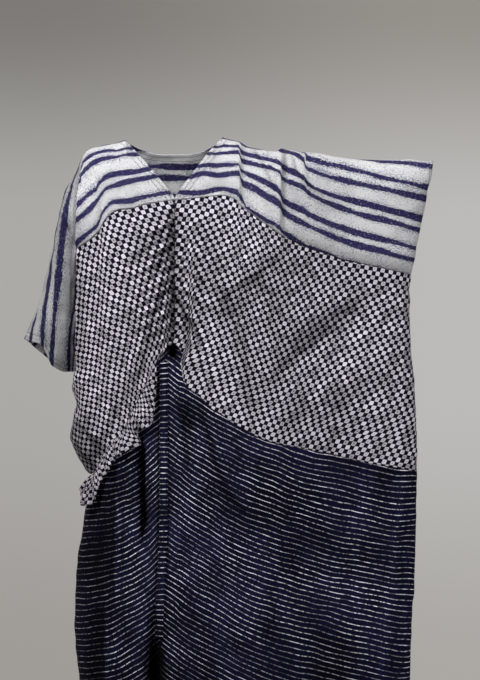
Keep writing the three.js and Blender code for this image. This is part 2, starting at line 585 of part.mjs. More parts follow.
// The strip over the skirt's centre seam and the ruffle below the hip
// gathering lie on the sheets: their points are panel points moved out.
const BAND_CLEARANCE = 2.2;
const BAND_WALL = 1.4;
const RUFFLE_WALL = 1.2;
function outwardAt(share, z, step = 2) {
  const here = bodyPoint(-1, share, z);
  const across = bodyPoint(-1, share + 0.004, z).sub(bodyPoint(-1, share - 0.004, z));
  const down = bodyPoint(-1, share, z - step).sub(bodyPoint(-1, share, z + step));
  return { here, out: down.cross(across).normalize() };
}
function bandTriangles() {
  const shares = [-1, -0.33, 0.33, 1].map((edge) => shareOf(CENTRE_X + (edge * BAND_WIDTH) / 2));
  const columns = shares.map((share) =>
    columnOf(evenRows(26), (at) => {
      const z = mix(BAND_TOP_Z, BAND_END_Z, at);
      const { here, out } = outwardAt(share, z, 12);
      return here.addScaledVector(out, BAND_CLEARANCE + BAND_WALL);
    }),
  );
  return sheetOf(columns);
}
// Ruffle: place on the gathered seam, then the loose edge it falls to and how
// far that edge stands off the skirt. [seat x, edge x, edge z, stand-off]
const RUFFLE = [
  [-31, -27, -428, 6], [-38, -22, -455, 9], [-45, -23, -483, 7], [-53, -25, -505, 10],
  [-60, -27, -526, 6], [-66, -29, -545, 14], [-71, -36, -556, 17], [-78, -58, -562, 8],
  [-86, -70, -566, 5], [-91, -72, -580, 10], [-95, -74, -592, 16], [-100, -90, -606, 15],
  [-108, -104, -613, 7], [-121, -117, -618, 5], [-128, -121, -633, 14], [-133, -124, -643, 16],
  [-141, -137, -647, 7], [-148, -150, -657, 6], [-153, -151, -675, 13], [-157, -153, -691, 19],
  [-160, -163, -701, 12], [-163, -171, -712, 20], [-166, -184, -711, 24], [-168, -191, -697, 18],
  [-171, -195, -684, 26],
];
const RUFFLE_STEPS = 2;
const RUFFLE_CRIMP = 1.6; // small gathers just under the seam
const RUFFLE_ARCH = 6; // how far the middle of its fall stands out
function ruffleTriangles() {
  const rows = evenRows(4);
  const count = (RUFFLE.length - 1) * RUFFLE_STEPS;
  const places = RUFFLE.map((row, i) => [i, ...row]);
  const read = (i, column) => along(pick(places, column), i / RUFFLE_STEPS);
  const columns = Array.from({ length: count + 1 }, (_, i) => {
    const seat = pointOnSeam(-1, shareOf(read(i, 1)), FRONT_WAIST_SEAM);
    const { here, out } = outwardAt(shareOf(read(i, 1)), seat.z, 8);
    here.addScaledVector(out, RUFFLE_WALL + SEAM_GAP + 0.05);
    const edgeShare = shareOf(Math.max(read(i, 2), REFERENCE_LEFT + 4));
    const under = outwardAt(edgeShare, read(i, 3), 8);
    const edge = under.here.addScaledVector(under.out, 3 + read(i, 4));
    return columnOf(rows, (at) => {
      const crimp = RUFFLE_CRIMP * (1 + Math.sin(i * 1.9)) * (1 - at) * ease(at * 3);
      const lift = RUFFLE_ARCH * Math.sin(Math.PI * at) + crimp;
      return here.clone().lerp(edge, mix(0.03, 1, at)).addScaledVector(out, lift);
    });
  });
  return sheetOf(columns.reverse());
}

const garment = new THREE.Group();
garment.name = "caftan_dress";
function addPiece(name, cloth, geometry) {
  const material = new THREE.MeshStandardMaterial({
    color: COLOURS[cloth],
    roughness: 0.85,
    metalness: 0,
  });
  const mesh = new THREE.Mesh(geometry, material);
  mesh.name = name;
  garment.add(mesh);
}
const shared = new Map();
for (const { triangles } of Object.values(SHEETS)) addNormals(triangles, shared);
for (const [name, { cloth, triangles }] of Object.entries(SHEETS)) {
  addPiece(name, cloth, wallOf(triangles, shared, CLOTH));
}
function addLaidOn(name, cloth, triangles, wall) {
  const own = new Map();
  addNormals(triangles, own);
  addPiece(name, cloth, wallOf(triangles, own, wall));
}
addLaidOn("centre_strip", "navy", bandTriangles(), BAND_WALL);
addLaidOn("hip_ruffle", "checked", ruffleTriangles(), RUFFLE_WALL);

export default garment;
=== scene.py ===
import math

import bpy
import numpy as np
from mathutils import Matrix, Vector


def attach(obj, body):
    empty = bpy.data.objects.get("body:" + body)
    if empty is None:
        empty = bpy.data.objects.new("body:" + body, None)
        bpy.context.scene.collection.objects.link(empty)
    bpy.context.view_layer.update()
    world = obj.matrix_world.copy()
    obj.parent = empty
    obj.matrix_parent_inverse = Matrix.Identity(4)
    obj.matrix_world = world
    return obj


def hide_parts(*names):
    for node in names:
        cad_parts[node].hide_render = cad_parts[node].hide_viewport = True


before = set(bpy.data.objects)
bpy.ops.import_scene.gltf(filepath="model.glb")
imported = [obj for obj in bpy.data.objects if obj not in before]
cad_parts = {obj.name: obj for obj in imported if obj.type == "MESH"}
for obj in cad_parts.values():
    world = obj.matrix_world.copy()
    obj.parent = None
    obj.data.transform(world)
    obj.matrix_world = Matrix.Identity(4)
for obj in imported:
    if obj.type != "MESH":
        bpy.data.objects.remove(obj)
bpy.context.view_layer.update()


# The yoke with both sleeves: one piece of slubbed off-white cotton with pairs
# of rough-edged indigo stripes, folded over the shoulders. It is sewn to the
# checked panels below; neck and cuffs have narrow turned hems.

MM = 0.001
HEM_Z = -1365.0
WEB_TOP_Z = -218.0
UNDERARM_Z = -452.4
CENTRE_X = -9.0
V_POINT_Z = -116.0
WEB_TUCK = 42.0
BACK_TUCK_SHARE = 0.35
EDGE_REACH = 125.0
WEB_GAP = 17.0
REFERENCE_LEFT = -209.0
REFERENCE_RIGHT = 456.0
FRONT = -1
BACK = 1

# Outline of the worn body tube: level z, side x
LEFT_EDGE = [
    (HEM_Z, -200), (-1043, -195), (-1014, -199), (-975, -203), (-936, -204), (-897, -203),
    (-848, -201), (-819, -199), (-790, -195), (-760, -189), (-722, -184), (-690, -176),
    (-654, -168), (-643.5, -179.5), (-628, -191), (-614, -199), (-595, -209), (-579, -212.5),
    (-556, -209), (-528, -205), (-517, -201.5), (-497, -205), (-470, -210.5), (WEB_TOP_Z, -207),
]
RIGHT_EDGE = [
    (HEM_Z, 450), (-1053, 448.5), (-975, 450.5), (-916, 452.5), (-877, 456), (-819, 458),
    (-760, 460), (-682, 461), (-640, 462), (-585, 462), (-546, 460), (-497, 458),
    (-468, 456), (-409, 450.5), (-292, 447), (-263, 450.5),
]
CHEST_DEPTH = [
    (HEM_Z, 168), (-1000, 156), (-650, 142), (-450, 134), (-350, 136), (-260, 132),
    (-180, 108), (-110, 76),
]
BACK_DEPTH = [
    (HEM_Z, 135), (-1000, 124), (-650, 108), (-450, 84), (-260, 88), (-180, 80), (-110, 62),
]
CURTAIN_DEPTH = [(HEM_Z, 64), (-650, 56), (-263, 52)]
CENTRE_SHIFT = [
    (HEM_Z, -34), (-961, -27.5), (-897, -26.5), (-858, -24.5), (-780, -21.5), (-720, -19.5),
    (-439, -19.5), (-410, -8), (-375, 0),
]
# Seams seen from the front: x, level z
FRONT_YOKE_SEAM = [
    (-207, WEB_TOP_Z), (-195, -210.5), (-175.5, -199), (-162, -187), (-154, -179.5),
    (-148, -167.7), (-142, -158), (-131, -146), (-113, -138.5), (-88, -136), (-78, -131),
    (-62, -127), (-39, -123), (CENTRE_X, -119.5), (39, -115), (84, -111), (97.5, -115),
    (111, -121), (117, -130), (131, -140.5), (162, -164), (179.5, -175.5), (195, -187),
    (214.5, -197), (234, -206.7), (253.5, -214.5), (292.5, -226), (312, -234), (351, -242),
    (390, -249.6), (450.5, -263.3),
]
BACK_YOKE_SEAM = [
    (-207, WEB_TOP_Z), (-150, -176), (-60, -152), (60, -152), (160, -170), (283, -218),
    (450.5, -263.3),
]
FRONT_WAIST_SEAM = [
    (-168, -654), (-156, -636), (-148, -616), (-136.5, -596.5), (-121, -579), (-105, -559.5),
    (-93.5, -534), (-78, -503), (-60.5, -468), (-45, -437), (-29, -413), (-17.5, -400),
    (-6, -400), (0, -406), (4, -440), (9, -468), (19.5, -483.5), (35, -493.5), (49, -507),
    (64.5, -522.5), (84, -534), (101.5, -548), (127, -561.5), (146, -573), (175.5, -585),
    (234, -598.7), (292.5, -610.4), (351, -626), (429, -639.6), (462, -645.5),
]
BACK_WAIST_SEAM = [(-168, -654), (-60, -640), (120, -634), (462, -645.5)]

# Creases: points x, z of the line; half width; rise; lip side (0 for a soft one)
YOKE_CREASES = [
    ([(118, 6), (117, -40), (116, -95), (118, -140)], 26, 11, 1),
    ([(199, -8), (196, -68), (195, -200)], 30, 12, 1),
    ([(164, -18), (178, -60), (197, -115)], 12, 6, 1),
    ([(234, -24), (246, -86), (276, -110), (312, -135)], 16, 7, 1),
    ([(76, -12), (66, -40), (55, -62)], 10, 4, 0),
    ([(-158, -80), (-154, -120), (-150, -172), (-156, -215)], 16, 7, -1),
]
FRONT_CREASES = YOKE_CREASES + [
    ([(110, -235), (140, -275)], 70, 16, 0),
    ([(82, -238), (109, -351), (137, -458), (150, -560)], 18, -8, 0),
    ([(380, -312), (302, -370), (234, -413), (201, -448), (160, -517)], 22, -9, 0),
    ([(322, -312), (214, -361), (146, -312)], 26, 8, 0),
    ([(429, -370), (390, -429), (292, -487), (214, -503), (185, -546)], 28, 8, 0),
    ([(322, -507), (302, -600)], 14, -5, 0),
    ([(434, -270), (438, -420), (434, -640)], 10, 6, 1),
    ([(22, -360), (52, -430), (86, -515)], 16, 6, 0),
    ([(13, -341), (19, -400), (12, -440)], 9, -8, 0),
    ([(-45, -200), (-85, -300), (-130, -360)], 22, 7, 0),
    ([(-58, -385), (-66, -448), (-80, -482)], 9, -9, 0),
    ([(-150, -380), (-152, -450)], 9, -5, 0),
    ([(-101, -487), (-121, -546), (-146, -595), (-160, -636)], 13, -11, 0),
    ([(-175, -468), (-187, -565), (-182, -622)], 24, 13, 0),
    ([(-110, -420), (-140, -510), (-185, -560)], 14, -7, 0),
    ([(-185, -240), (-190, -330), (-187, -430)], 14, 6, 0),
    ([(-78, -560), (-74, -605), (-68, -663), (-66, -721), (-68, -790)], 9, -26, 0),
    ([(-122, -628), (-122, -760), (-123, -920)], 28, 14, 1),
    ([(-140, -860), (-141, -1000), (-143, HEM_Z)], 34, 14, 1),
    ([(-176, -740), (-178, -1000), (-180, HEM_Z)], 8, 6, 0),
    ([(-155, -700), (-157, -880)], 8, 5, 0),
    ([(-92, -960), (-88, -1120), (-90, HEM_Z)], 16, 9, 0),
    ([(-47, -880), (-46, -975), (-45, -1120), (-46, HEM_Z)], 13, -32, 0),
    ([(-14, -1000), (-6, -1120), (-2, HEM_Z)], 14, 9, 0),
    ([(49, -526), (68, -585), (88, -643), (127, -721), (160, -790)], 12, 5, 0),
    ([(20, -720), (35, -829), (39, -877), (58, -975), (66, -1053), (72, HEM_Z)], 16, 8, 0),
    ([(150, -860), (160, -1053), (165, HEM_Z)], 34, 10, 0),
    ([(255, -820), (262, -1053), (262, HEM_Z)], 40, 11, 0),
    ([(350, -900), (352, -1100), (352, HEM_Z)], 34, 10, 0),
    ([(432, -650), (423, -740), (412, -838), (398, -940), (390, -1053), (386, HEM_Z)], 13, 8, -1),
]
BACK_CREASES = [
    ([(-60, -160), (-90, -400), (-120, -640)], 40, 10, 0),
    ([(90, -165), (110, -400), (120, -640)], 50, 9, 0),
    ([(200, -190), (260, -400), (300, -640)], 45, 9, 0),
    ([(10, -180), (5, -420), (0, -640)], 34, -8, 0),
    ([(-110, -660), (-105, -1000), (-104, HEM_Z)], 34, 16, 0),
    ([(-30, -660), (-20, -1000), (-14, HEM_Z)], 34, 15, 0),
    ([(60, -650), (72, -1000), (80, HEM_Z)], 38, 15, 0),
    ([(160, -650), (170, -1000), (176, HEM_Z)], 38, 14, 0),
    ([(260, -650), (268, -1000), (272, HEM_Z)], 36, 13, 0),
    ([(350, -650), (356, -1000), (360, HEM_Z)], 30, 12, 0),
]
# Finer creases of this cloth, too small for the solids
FINE_FRONT_CREASES = [
    # skirt, below the slanting seam on the raised side
    ([(8, -505), (18, -560), (22, -640), (30, -700)], 7, 2.6, 0),
    ([(30, -500), (48, -556), (62, -620), (92, -690), (140, -745)], 6, 3.0, 1),
    ([(72, -540), (96, -600), (120, -640), (150, -690)], 6, -2.4, 0),
    ([(40, -560), (52, -640), (80, -720), (110, -780)], 7, -2.6, 0),
    ([(126, -570), (150, -610), (190, -660)], 8, 2.0, 0),
    ([(10, -640), (24, -760), (30, -860)], 8, 2.4, 0),
    ([(90, -780), (110, -900), (118, -1040)], 12, 2.6, 0),
    ([(200, -700), (214, -860), (210, -1040)], 14, 2.2, 0),
    ([(300, -740), (310, -900), (306, -1080)], 14, 2.2, 0),
    ([(180, -640), (260, -690), (350, -700)], 12, 1.8, 0),
    # skirt, hanging side
    ([(-100, -640), (-104, -760), (-102, -880)], 7, 2.6, 0),
    ([(-135, -700), (-134, -800), (-139, -930)], 7, 2.4, 0),
    ([(-48, -520), (-44, -620), (-46, -760)], 6, 2.6, 0),
    ([(-190, -760), (-188, -900), (-192, -1040)], 6, 2.4, 0),
    # checked front, raised side
    ([(20, -250), (70, -300), (96, -340)], 9, 2.4, 0),
    ([(24, -300), (62, -370), (80, -430)], 8, -2.4, 0),
    ([(30, -390), (70, -450), (110, -520)], 9, 2.6, 0),
    ([(150, -300), (200, -330), (270, -330)], 12, 2.2, 0),
    ([(250, -290), (330, -340), (400, -360)], 12, -2.2, 0),
    ([(200, -440), (280, -450), (360, -430)], 12, 2.4, 0),
    ([(180, -500), (250, -540), (340, -560)], 12, 2.2, 0),
    ([(400, -440), (380, -520), (390, -600)], 11, 2.2, 0),
    ([(150, -200), (190, -230), (260, -250)], 9, 1.8, 0),
    # checked front, hanging side
    ([(-30, -210), (-70, -250), (-120, -270)], 8, 2.4, 0),
    ([(-34, -260), (-80, -330), (-110, -400)], 8, -2.2, 0),
    ([(-120, -200), (-160, -280), (-170, -360)], 9, 2.2, 0),
    ([(-36, -340), (-70, -400), (-120, -470)], 8, 2.6, 0),
    ([(-90, -440), (-130, -480), (-180, -500)], 8, 2.8, 0),
    ([(-110, -500), (-150, -530), (-196, -530)], 7, 2.8, 0),
    ([(-130, -540), (-160, -575), (-200, -585)], 6, 2.8, 0),
    # pleats that fan out from the centre seam
    ([(-2, -187), (16, -196), (39, -214)], 5, -3.6, 0),
    ([(-4, -222), (19, -243), (55, -253), (97, -228)], 7, -5.0, 0),
    ([(-12, -250), (8, -269), (62, -281)], 6, -4.4, 0),
    ([(-12, -296), (16, -347), (39, -394)], 5, -6.0, 0),
    ([(0, -312), (31, -370), (44, -410)], 5, -4.4, 0),
    ([(4, -272), (34, -312), (70, -330)], 6, 3.2, 0),
    ([(-16, -172), (-62, -211), (-105, -253)], 8, -5.4, 0),
    ([(-16, -210), (-31, -234), (-51, -269)], 5, -5.0, 0),
    ([(-26, -284), (-47, -339), (-62, -402)], 6, -6.0, 0),
    ([(-34, -322), (-47, -402), (-54, -440)], 5, 3.6, 0),
    ([(-20, -246), (-48, -292), (-84, -330)], 6, 3.4, 0),
    # broad drape of the raised side
    ([(96, -300), (120, -380), (146, -500)], 10, -4.0, 0),
    ([(372, -306), (318, -338), (262, -372)], 10, -5.0, 0),
    ([(250, -404), (214, -436), (182, -486)], 9, -4.0, 0),
    ([(430, -300), (390, -340), (350, -400), (330, -470)], 14, 4.0, 0),
    ([(290, -450), (250, -500), (232, -570)], 9, -3.4, 0),
    ([(400, -470), (360, -520), (350, -600)], 10, -3.2, 0),
    ([(120, -190), (170, -250), (230, -290)], 12, -3.4, 0),
    # broad drape of the hanging side
    ([(-100, -190), (-130, -260), (-140, -340)], 10, -3.4, 0),
    ([(-170, -300), (-150, -380), (-160, -450)], 9, -3.6, 0),
    ([(-60, -300), (-90, -380), (-96, -450)], 9, 3.4, 0),
    ([(-125, -430), (-160, -480), (-200, -500)], 6, -4.0, 0),
    ([(-120, -480), (-150, -545), (-190, -570)], 6, -4.4, 0),
    # yoke
    ([(30, -70), (70, -62), (110, -60)], 8, 1.8, 0),
    ([(114, -6), (113, -50), (112, -108)], 5, -3.4, 1),
    ([(138, -13), (160, -44), (172, -68), (184, -96)], 5, 4.0, 1),
    ([(150, -60), (164, -100), (172, -150)], 6, 2.6, 0),
    ([(190, -16), (189, -70), (188, -130)], 5, -3.6, 1),
    ([(212, -22), (226, -60), (240, -78), (262, -98), (290, -112)], 6, 4.4, 1),
    ([(206, -90), (216, -140), (236, -190)], 7, 3.0, 0),
    ([(222, -110), (250, -150), (290, -190)], 9, -2.6, 0),
    ([(300, -60), (350, -90), (420, -100)], 12, 2.2, 0),
    ([(320, -130), (380, -150), (440, -160)], 11, -2.2, 0),
    ([(330, -190), (390, -206), (450, -214)], 10, 1.8, 0),
    ([(-60, -100), (-90, -80), (-120, -60)], 10, 2.2, 0),
    ([(-120, -110), (-150, -90), (-176, -70)], 9, -2.2, 0),
    # edge of the yoke that lies over the hanging sleeve
    ([(-190, -46), (-197, -82), (-199, -120), (-201, -160), (-203, -190)], 10, 6, -1),
]
GATHER_FIRST = -140
GATHER_LAST = -400
GATHER_PITCH = 22
GATHER_REACH = 78
GATHER_RISE = 6.5
GATHER_SLOPE = 0.55
HIP_GATHERS = ([(-56, -470), (-96, -535), (-150, -600)], 24, 1.0, 0)
BROAD_RIPPLE = 46
FINE_RIPPLE = 17
SEAM_DITCH = 0.6


def along(table, at):
    """Smooth value from rows of (place, value), sorted by rising place."""
    place, value = np.array(table, float).T
    at = np.clip(np.asarray(at, float), place[0], place[-1])
    i = np.clip(np.searchsorted(place, at, side="left") - 1, 0, len(place) - 2)
    step = np.diff(place)
    chord = np.diff(value) / step
    before = np.concatenate([chord[:1], chord[:-1]])
    after = np.concatenate([chord[1:], chord[-1:]])

    def slope(a, b):
        both = a * b > 0
        return np.where(both, 2 * a * b / np.where(both, a + b, 1), 0)

    start, end = slope(before, chord), slope(after, chord)
    t = (at - place[i]) / step[i]
    s = 1 - t
    return (
        value[i] * (1 + 2 * t) * s * s
        + start[i] * step[i] * t * s * s
        + value[i + 1] * (3 - 2 * t) * t * t
        - end[i] * step[i] * t * t * s
    )


def mix(a, b, t):
    return a + (b - a) * t


def clamp(t):
    return np.clip(t, 0, 1)


def ease(t):
    return clamp(t) ** 2 * (3 - 2 * clamp(t))


def crease_rise(crease, x, z, lip_share=0.22):
    path, width, rise, lip = crease
    best = np.full(np.shape(x), np.inf)
    side = np.zeros(np.shape(x))
    travelled = np.zeros(np.shape(x))
    for i, ((ax, az), (bx, bz)) in enumerate(zip(path, path[1:])):
        dx, dz = bx - ax, bz - az
        t = clamp(((x - ax) * dx + (z - az) * dz) / (dx * dx + dz * dz))
        away = np.hypot(x - ax - dx * t, z - az - dz * t)
        nearer = away < best
        best = np.where(nearer, away, best)
        turned = np.sign(dz * (x - ax) - dx * (z - az)) * (1 if dz > 0 else -1)
        side = np.where(nearer, turned, side)
        travelled = np.where(nearer, (i + t) / (len(path) - 1), travelled)
    fade = ease(travelled * 5)
    if path[-1][1] != HEM_Z:
        fade = fade * ease((1 - travelled) * 5)
    reach = np.full(np.shape(x), float(width))
    if lip:
        reach = np.where(side == lip, width * lip_share, reach)
    near = best < 4 * reach
    return rise * np.exp(-((best / reach) ** 2)) * (0.35 + 0.65 * fade) * near


def gather_rise(x, z):
    off = x - CENTRE_X
    level = z + np.abs(off) * GATHER_SLOPE
    inside = ease((GATHER_FIRST + 10 - level) / 25) * ease((level - GATHER_LAST) / 30)
    reach = np.where(off < 0, GATHER_REACH * 1.25, GATHER_REACH)
    fade = np.exp(-((off / reach) ** 2) * 2.4) * (1 - 0.65 * np.exp(-((off / 9) ** 2)))
    wave = np.cos(2 * np.pi * level / GATHER_PITCH + 0.9 * np.sin(level / 37))
    groove = np.exp(-((off / 9) ** 2)) * ease((-118 - z) / 20) * ease((z + 440) / 30)
    return GATHER_RISE * fade * wave * inside - 9 * groove


def fine_gathers(x, z):
    """Small crimps close to the centre seam, between the large gathers."""
    off = x - CENTRE_X
    level = z + np.abs(off) * 0.4 + 3 * np.sin(off / 17)
    inside = ease((-128 - level) / 20) * ease((level + 430) / 30)
    crimp = np.sin(2 * np.pi * level / 8.6 + 1.7 * np.sin(level / 23) + np.sign(off) * 1.3)
    return 1.7 * np.exp(-np.abs(off) / 30) * crimp * inside


def hip_crinkles(x, z):
    """Small crimps along the gathered seam at the hip."""
    near = crease_rise(HIP_GATHERS, x, z)
    phase = 2 * np.pi * (0.55 * x + 0.83 * z) / 10.5 + 1.6 * np.sin(x / 9)
    wave = np.sin(phase + 0.9 * np.sin(z / 13))
    cross = np.sin(2 * np.pi * (0.8 * x - 0.6 * z) / 15 + 1.1 * np.sin(z / 7))
    return near * (1.5 * wave + 0.8 * cross)


def creases(which, x, z):
    return sum(crease_rise(c, x, z) for c in which)


def front_rise(x, z, detail):
    rise = creases(FRONT_CREASES, x, z) + gather_rise(x, z)
    if detail > 1:
        rise = rise + creases(FINE_FRONT_CREASES, x, z) + fine_gathers(x, z)
        rise = rise + hip_crinkles(x, z) * (z > -700)
    if detail > 2:
        rise = rise + creases(SKIRT_FRONT_CREASES, x, z)
    return rise


def reference_x(share):
    return mix(REFERENCE_LEFT, REFERENCE_RIGHT, (1 - np.cos(np.pi * share)) / 2)


def share_of(x):
    way = (np.asarray(x, float) - REFERENCE_LEFT) / (REFERENCE_RIGHT - REFERENCE_LEFT)
    return np.arccos(np.clip(1 - 2 * way, -1, 1)) / np.pi


def body_points(face, share, z, detail=1):
    """Points of the worn tube. detail 0 leaves every crease out, 2 adds the fine ones and 3
    those of the skirt alone."""
    share, z = np.broadcast_arrays(np.asarray(share, float), np.asarray(z, float))
    even = reference_x(share)
    near_left = clamp(1 - (even - REFERENCE_LEFT) / EDGE_REACH) ** 2
    near_right = clamp(1 - (REFERENCE_RIGHT - even) / EDGE_REACH) ** 2
    straight = (
        even
        + (along(LEFT_EDGE, z) - REFERENCE_LEFT) * near_left
        + (along(RIGHT_EDGE, z) - REFERENCE_RIGHT) * near_right
    )
    middle = clamp(1 - (straight / 170) ** 2) ** 2
    above = ease((z - UNDERARM_Z) / 60)
    back_share = 1.0 if face == FRONT else mix(1, BACK_TUCK_SHARE, above)
    tuck = WEB_TUCK * ease((z - UNDERARM_Z + 30) / 60) * back_share * clamp(1 - share / 0.08) ** 2
    x = straight + tuck
    if face == FRONT:
        x = x + along(CENTRE_SHIFT, z) * middle
    body = along(CHEST_DEPTH if face == FRONT else BACK_DEPTH, z)
    depth = mix(body, along(CURTAIN_DEPTH, z), ease((straight - 110) / 240))
    arc = np.sin(np.pi * share)
    if detail == 0:
        rise = 0.0
    elif face == FRONT:
        rise = front_rise(x, z, detail)
    else:
        rise = creases(BACK_CREASES, x, z)
    apart = WEB_GAP * above * clamp(1 - share / 0.1)
    y = face * (depth * np.maximum(arc, 0) ** 0.55 + rise * ease(arc * 5) + apart)
    return np.stack([x, y, z], -1)


def seam_levels(face, share, seam):
    """Level z at which each column crosses a seam given by its height over x."""
    share = np.asarray(share, float)
    z = along(seam, reference_x(share))
    for _ in range(12):
        z = mix(z, along(seam, body_points(face, share, z, 0)[..., 0]), 0.6)
    z = np.where(share <= 0, seam[0][1], z)
    return np.where(share >= 1, seam[-1][1], z)


def lengths(points, axis):
    """Running length along one axis of a grid of points."""
    steps = np.linalg.norm(np.diff(points, axis=axis), axis=-1)
    start = np.zeros_like(np.take(steps, [0], axis=axis))
    return np.concatenate([start, np.cumsum(steps, axis=axis)], axis=axis)


def normals_of(grid, outward):
    across = np.gradient(grid, axis=0)
    down = np.gradient(grid, axis=1)
    normal = np.cross(across, down) * outward
    return normal / np.maximum(np.linalg.norm(normal, axis=-1, keepdims=True), 1e-9)


def ripple(points, wave, seed):
    """Smooth irregular height from summed waves in several directions."""
    rng = np.random.default_rng(seed)
    total = np.zeros(points.shape[:-1])
    for _ in range(9):
        direction = rng.normal(size=3)
        direction /= np.linalg.norm(direction)
        phase = rng.uniform(0, 2 * np.pi)
        scale = wave * rng.uniform(0.7, 1.6)
        bend = 1.4 * np.sin(points @ rng.normal(size=3) / (4 * wave) + rng.uniform(0, 6))
        total += np.sin(points @ direction * 2 * np.pi / scale + phase + bend)
    return total / 3.0


def handled(grid, outward, seam, loose):
    """The cloth's small unevenness, dying out at the seams, and a ditch along each seam."""
    normal = normals_of(grid, outward)
    free = ease(seam / 9)
    uneven = 0.55 * ripple(grid, BROAD_RIPPLE, 3) + 0.25 * ripple(grid, FINE_RIPPLE, 5)
    height = loose * uneven * free
    ditch = -SEAM_DITCH * np.exp(-((seam / 1.8) ** 2))
    return grid + normal * (height + ditch)[..., None]


def mesh_piece(name, grids, wall):
    """One thin shell from grids of points, welded where they meet.
    Each grid is (points, turned, cut, sewn, shade): cut is the place on the flat cloth,
    sewn holds the distance from the seam, the run along it and the distance from a hem,
    shade is the painted shade, the share of light left in the folds, kept as the third value of the cut
    attribute."""
    points, cuts, sewns, faces = [], [], [], []
    count = 0
    for grid, turned, cut, sewn, shade in grids:
        columns, rows = grid.shape[:2]
        index = count + np.arange(columns * rows).reshape(columns, rows)
        a, b = index[:-1, :-1], index[1:, :-1]
        c, d = index[1:, 1:], index[:-1, 1:]
        quads = np.stack([a, b, c, d] if turned else [a, d, c, b], -1).reshape(-1, 4)
        points.append(grid.reshape(-1, 3))
        cuts.append(np.c_[cut.reshape(-1, 2), np.broadcast_to(shade, (columns, rows)).reshape(-1)])
        sewns.append(sewn.reshape(-1, 3))
        faces.append(quads)
        count += columns * rows
    points = np.concatenate(points)
    cuts, sewns, faces = np.concatenate(cuts), np.concatenate(sewns), np.concatenate(faces)
    keys = np.round(points / 0.02).astype(np.int64)
    _, first, inverse = np.unique(keys, axis=0, return_index=True, return_inverse=True)
    faces = inverse.reshape(-1)[faces]
    points, cuts, sewns = points[first], cuts[first], sewns[first]
    whole = [list(dict.fromkeys(f)) for f in faces.tolist()]
    whole = [f for f in whole if len(f) > 2]
    mesh = bpy.data.meshes.new(name)
    mesh.from_pydata((points * MM).tolist(), [], whole)
    mesh.update()
    cut_layer = mesh.attributes.new("cut", "FLOAT_VECTOR", "POINT")
    cut_layer.data.foreach_set("vector", cuts.ravel())
    sewn_layer = mesh.attributes.new("sewn", "FLOAT_VECTOR", "POINT")
    sewn_layer.data.foreach_set("vector", sewns.ravel())
    mesh.polygons.foreach_set("use_smooth", [True] * len(mesh.polygons))
    piece = bpy.data.objects.new(name, mesh)
    bpy.context.scene.collection.objects.link(piece)
    shell = piece.modifiers.new("wall", "SOLIDIFY")
    shell.thickness = wall * MM
    shell.offset = -1
    return piece


def even_shares(face, from_share, to_share, level, step):
    """Column shares that lie evenly along the cloth at one level."""
    dense = np.linspace(from_share, to_share, 1600)
    run = lengths(body_points(face, dense, np.full(1600, float(level)), 0)[:, None], 0)[:, 0]
    count = max(2, int(round(run[-1] / step)))
    return np.interp(np.linspace(0, run[-1], count + 1), run, dense)


HANGING_RIDGE = [
    (0, -304, -388), (0.1, -288.6, -351), (0.2, -273, -312), (0.3, -263, -273),
    (0.4, -253.5, -234), (0.5, -245.7, -195), (0.6, -238, -156), (0.68, -228, -117),
    (0.73, -222, -97.5), (0.78, -210.5, -78), (0.82, -201, -58.5), (0.86, -193, -38),
    (0.9, -179.5, -19.5), (0.94, -150, -10), (0.97, -123, -6), (1, -107, 0),
]
RAISED_RIDGE = [
    (0, 83, 6.8), (0.044, 101, -1), (0.083, 117, -4), (0.116, 131, -11.7), (0.168, 152, -17.6),
    (0.235, 179.4, -23.4), (0.259, 189, -24), (0.278, 197, -16.6), (0.32, 214.5, -21.5),
    (0.39, 244, -25.4), (0.487, 283, -29.3), (0.606, 331.5, -38), (0.89, 448.5, -39),
    (1, 493.4, -41),
]
RIDGE_Y = 6.0
HANGING_WEB_SHARE = 0.62
SLEEVE_BULGE = 66.0
FRONT_CUFF_DIP = [
    (0, 0), (0.15, 5), (0.3, 9), (0.4, -1), (0.5, -20), (0.64, -21), (0.8, -12), (1, 0),
]
BACK_CUFF_DIP = [(0, 0), (0.2, -9), (0.45, -14), (0.7, -6), (1, 0)]
CUFF_DIP_REACH = 0.3
CUFF_BULGE = 34.0
BACK_NECK_Z = -26.0
V_CURVE = 0.93
BACK_NECK_CURVE = 3
NECK_BLEND = 25.0
UNDERARM_GAP = 0.5
SHOULDER_LEVEL = -200
NECK_LEVEL = -150
NECK_FOOT = {"left": -100.0, "right": 100.0}
NECK_SIDE = {"left": (-107.0, 0.0), "right": (83.0, 6.8)}
NECK_TOP = 4.0

# Place of the stripes: distance on the flat cloth from the first pair, read at
# the shoulder fold (by share of the fold), at the seam (by x) and at the neck
# (by level z).
HANGING_FOLD_STRIPE = [
    (0, -8), (0.3, 14), (0.5, 30), (0.73, 50), (0.85, 77), (0.9, 86), (0.94, 75), (1, 68),
]
RAISED_FOLD_STRIPE = [
    (0, 68), (0.083, 68), (0.278, 64), (0.39, 32), (0.487, 22), (0.61, 14), (0.87, -6), (1, -8),
]
SEAM_STRIPE = [
    (-209, 224), (-195, 242), (-117, 247), (CENTRE_X, 242), (84, 244), (117, 242),
    (195, 239), (234, 231), (292, 228), (450, 224),
]
NECK_STRIPE = [
    (-116, 240), (-105, 230), (-74, 193), (-56, 171), (-30, 134), (-15, 112), (0, 80), (6, 72),
]
NECK_SIDE_STRIPE = 68.0
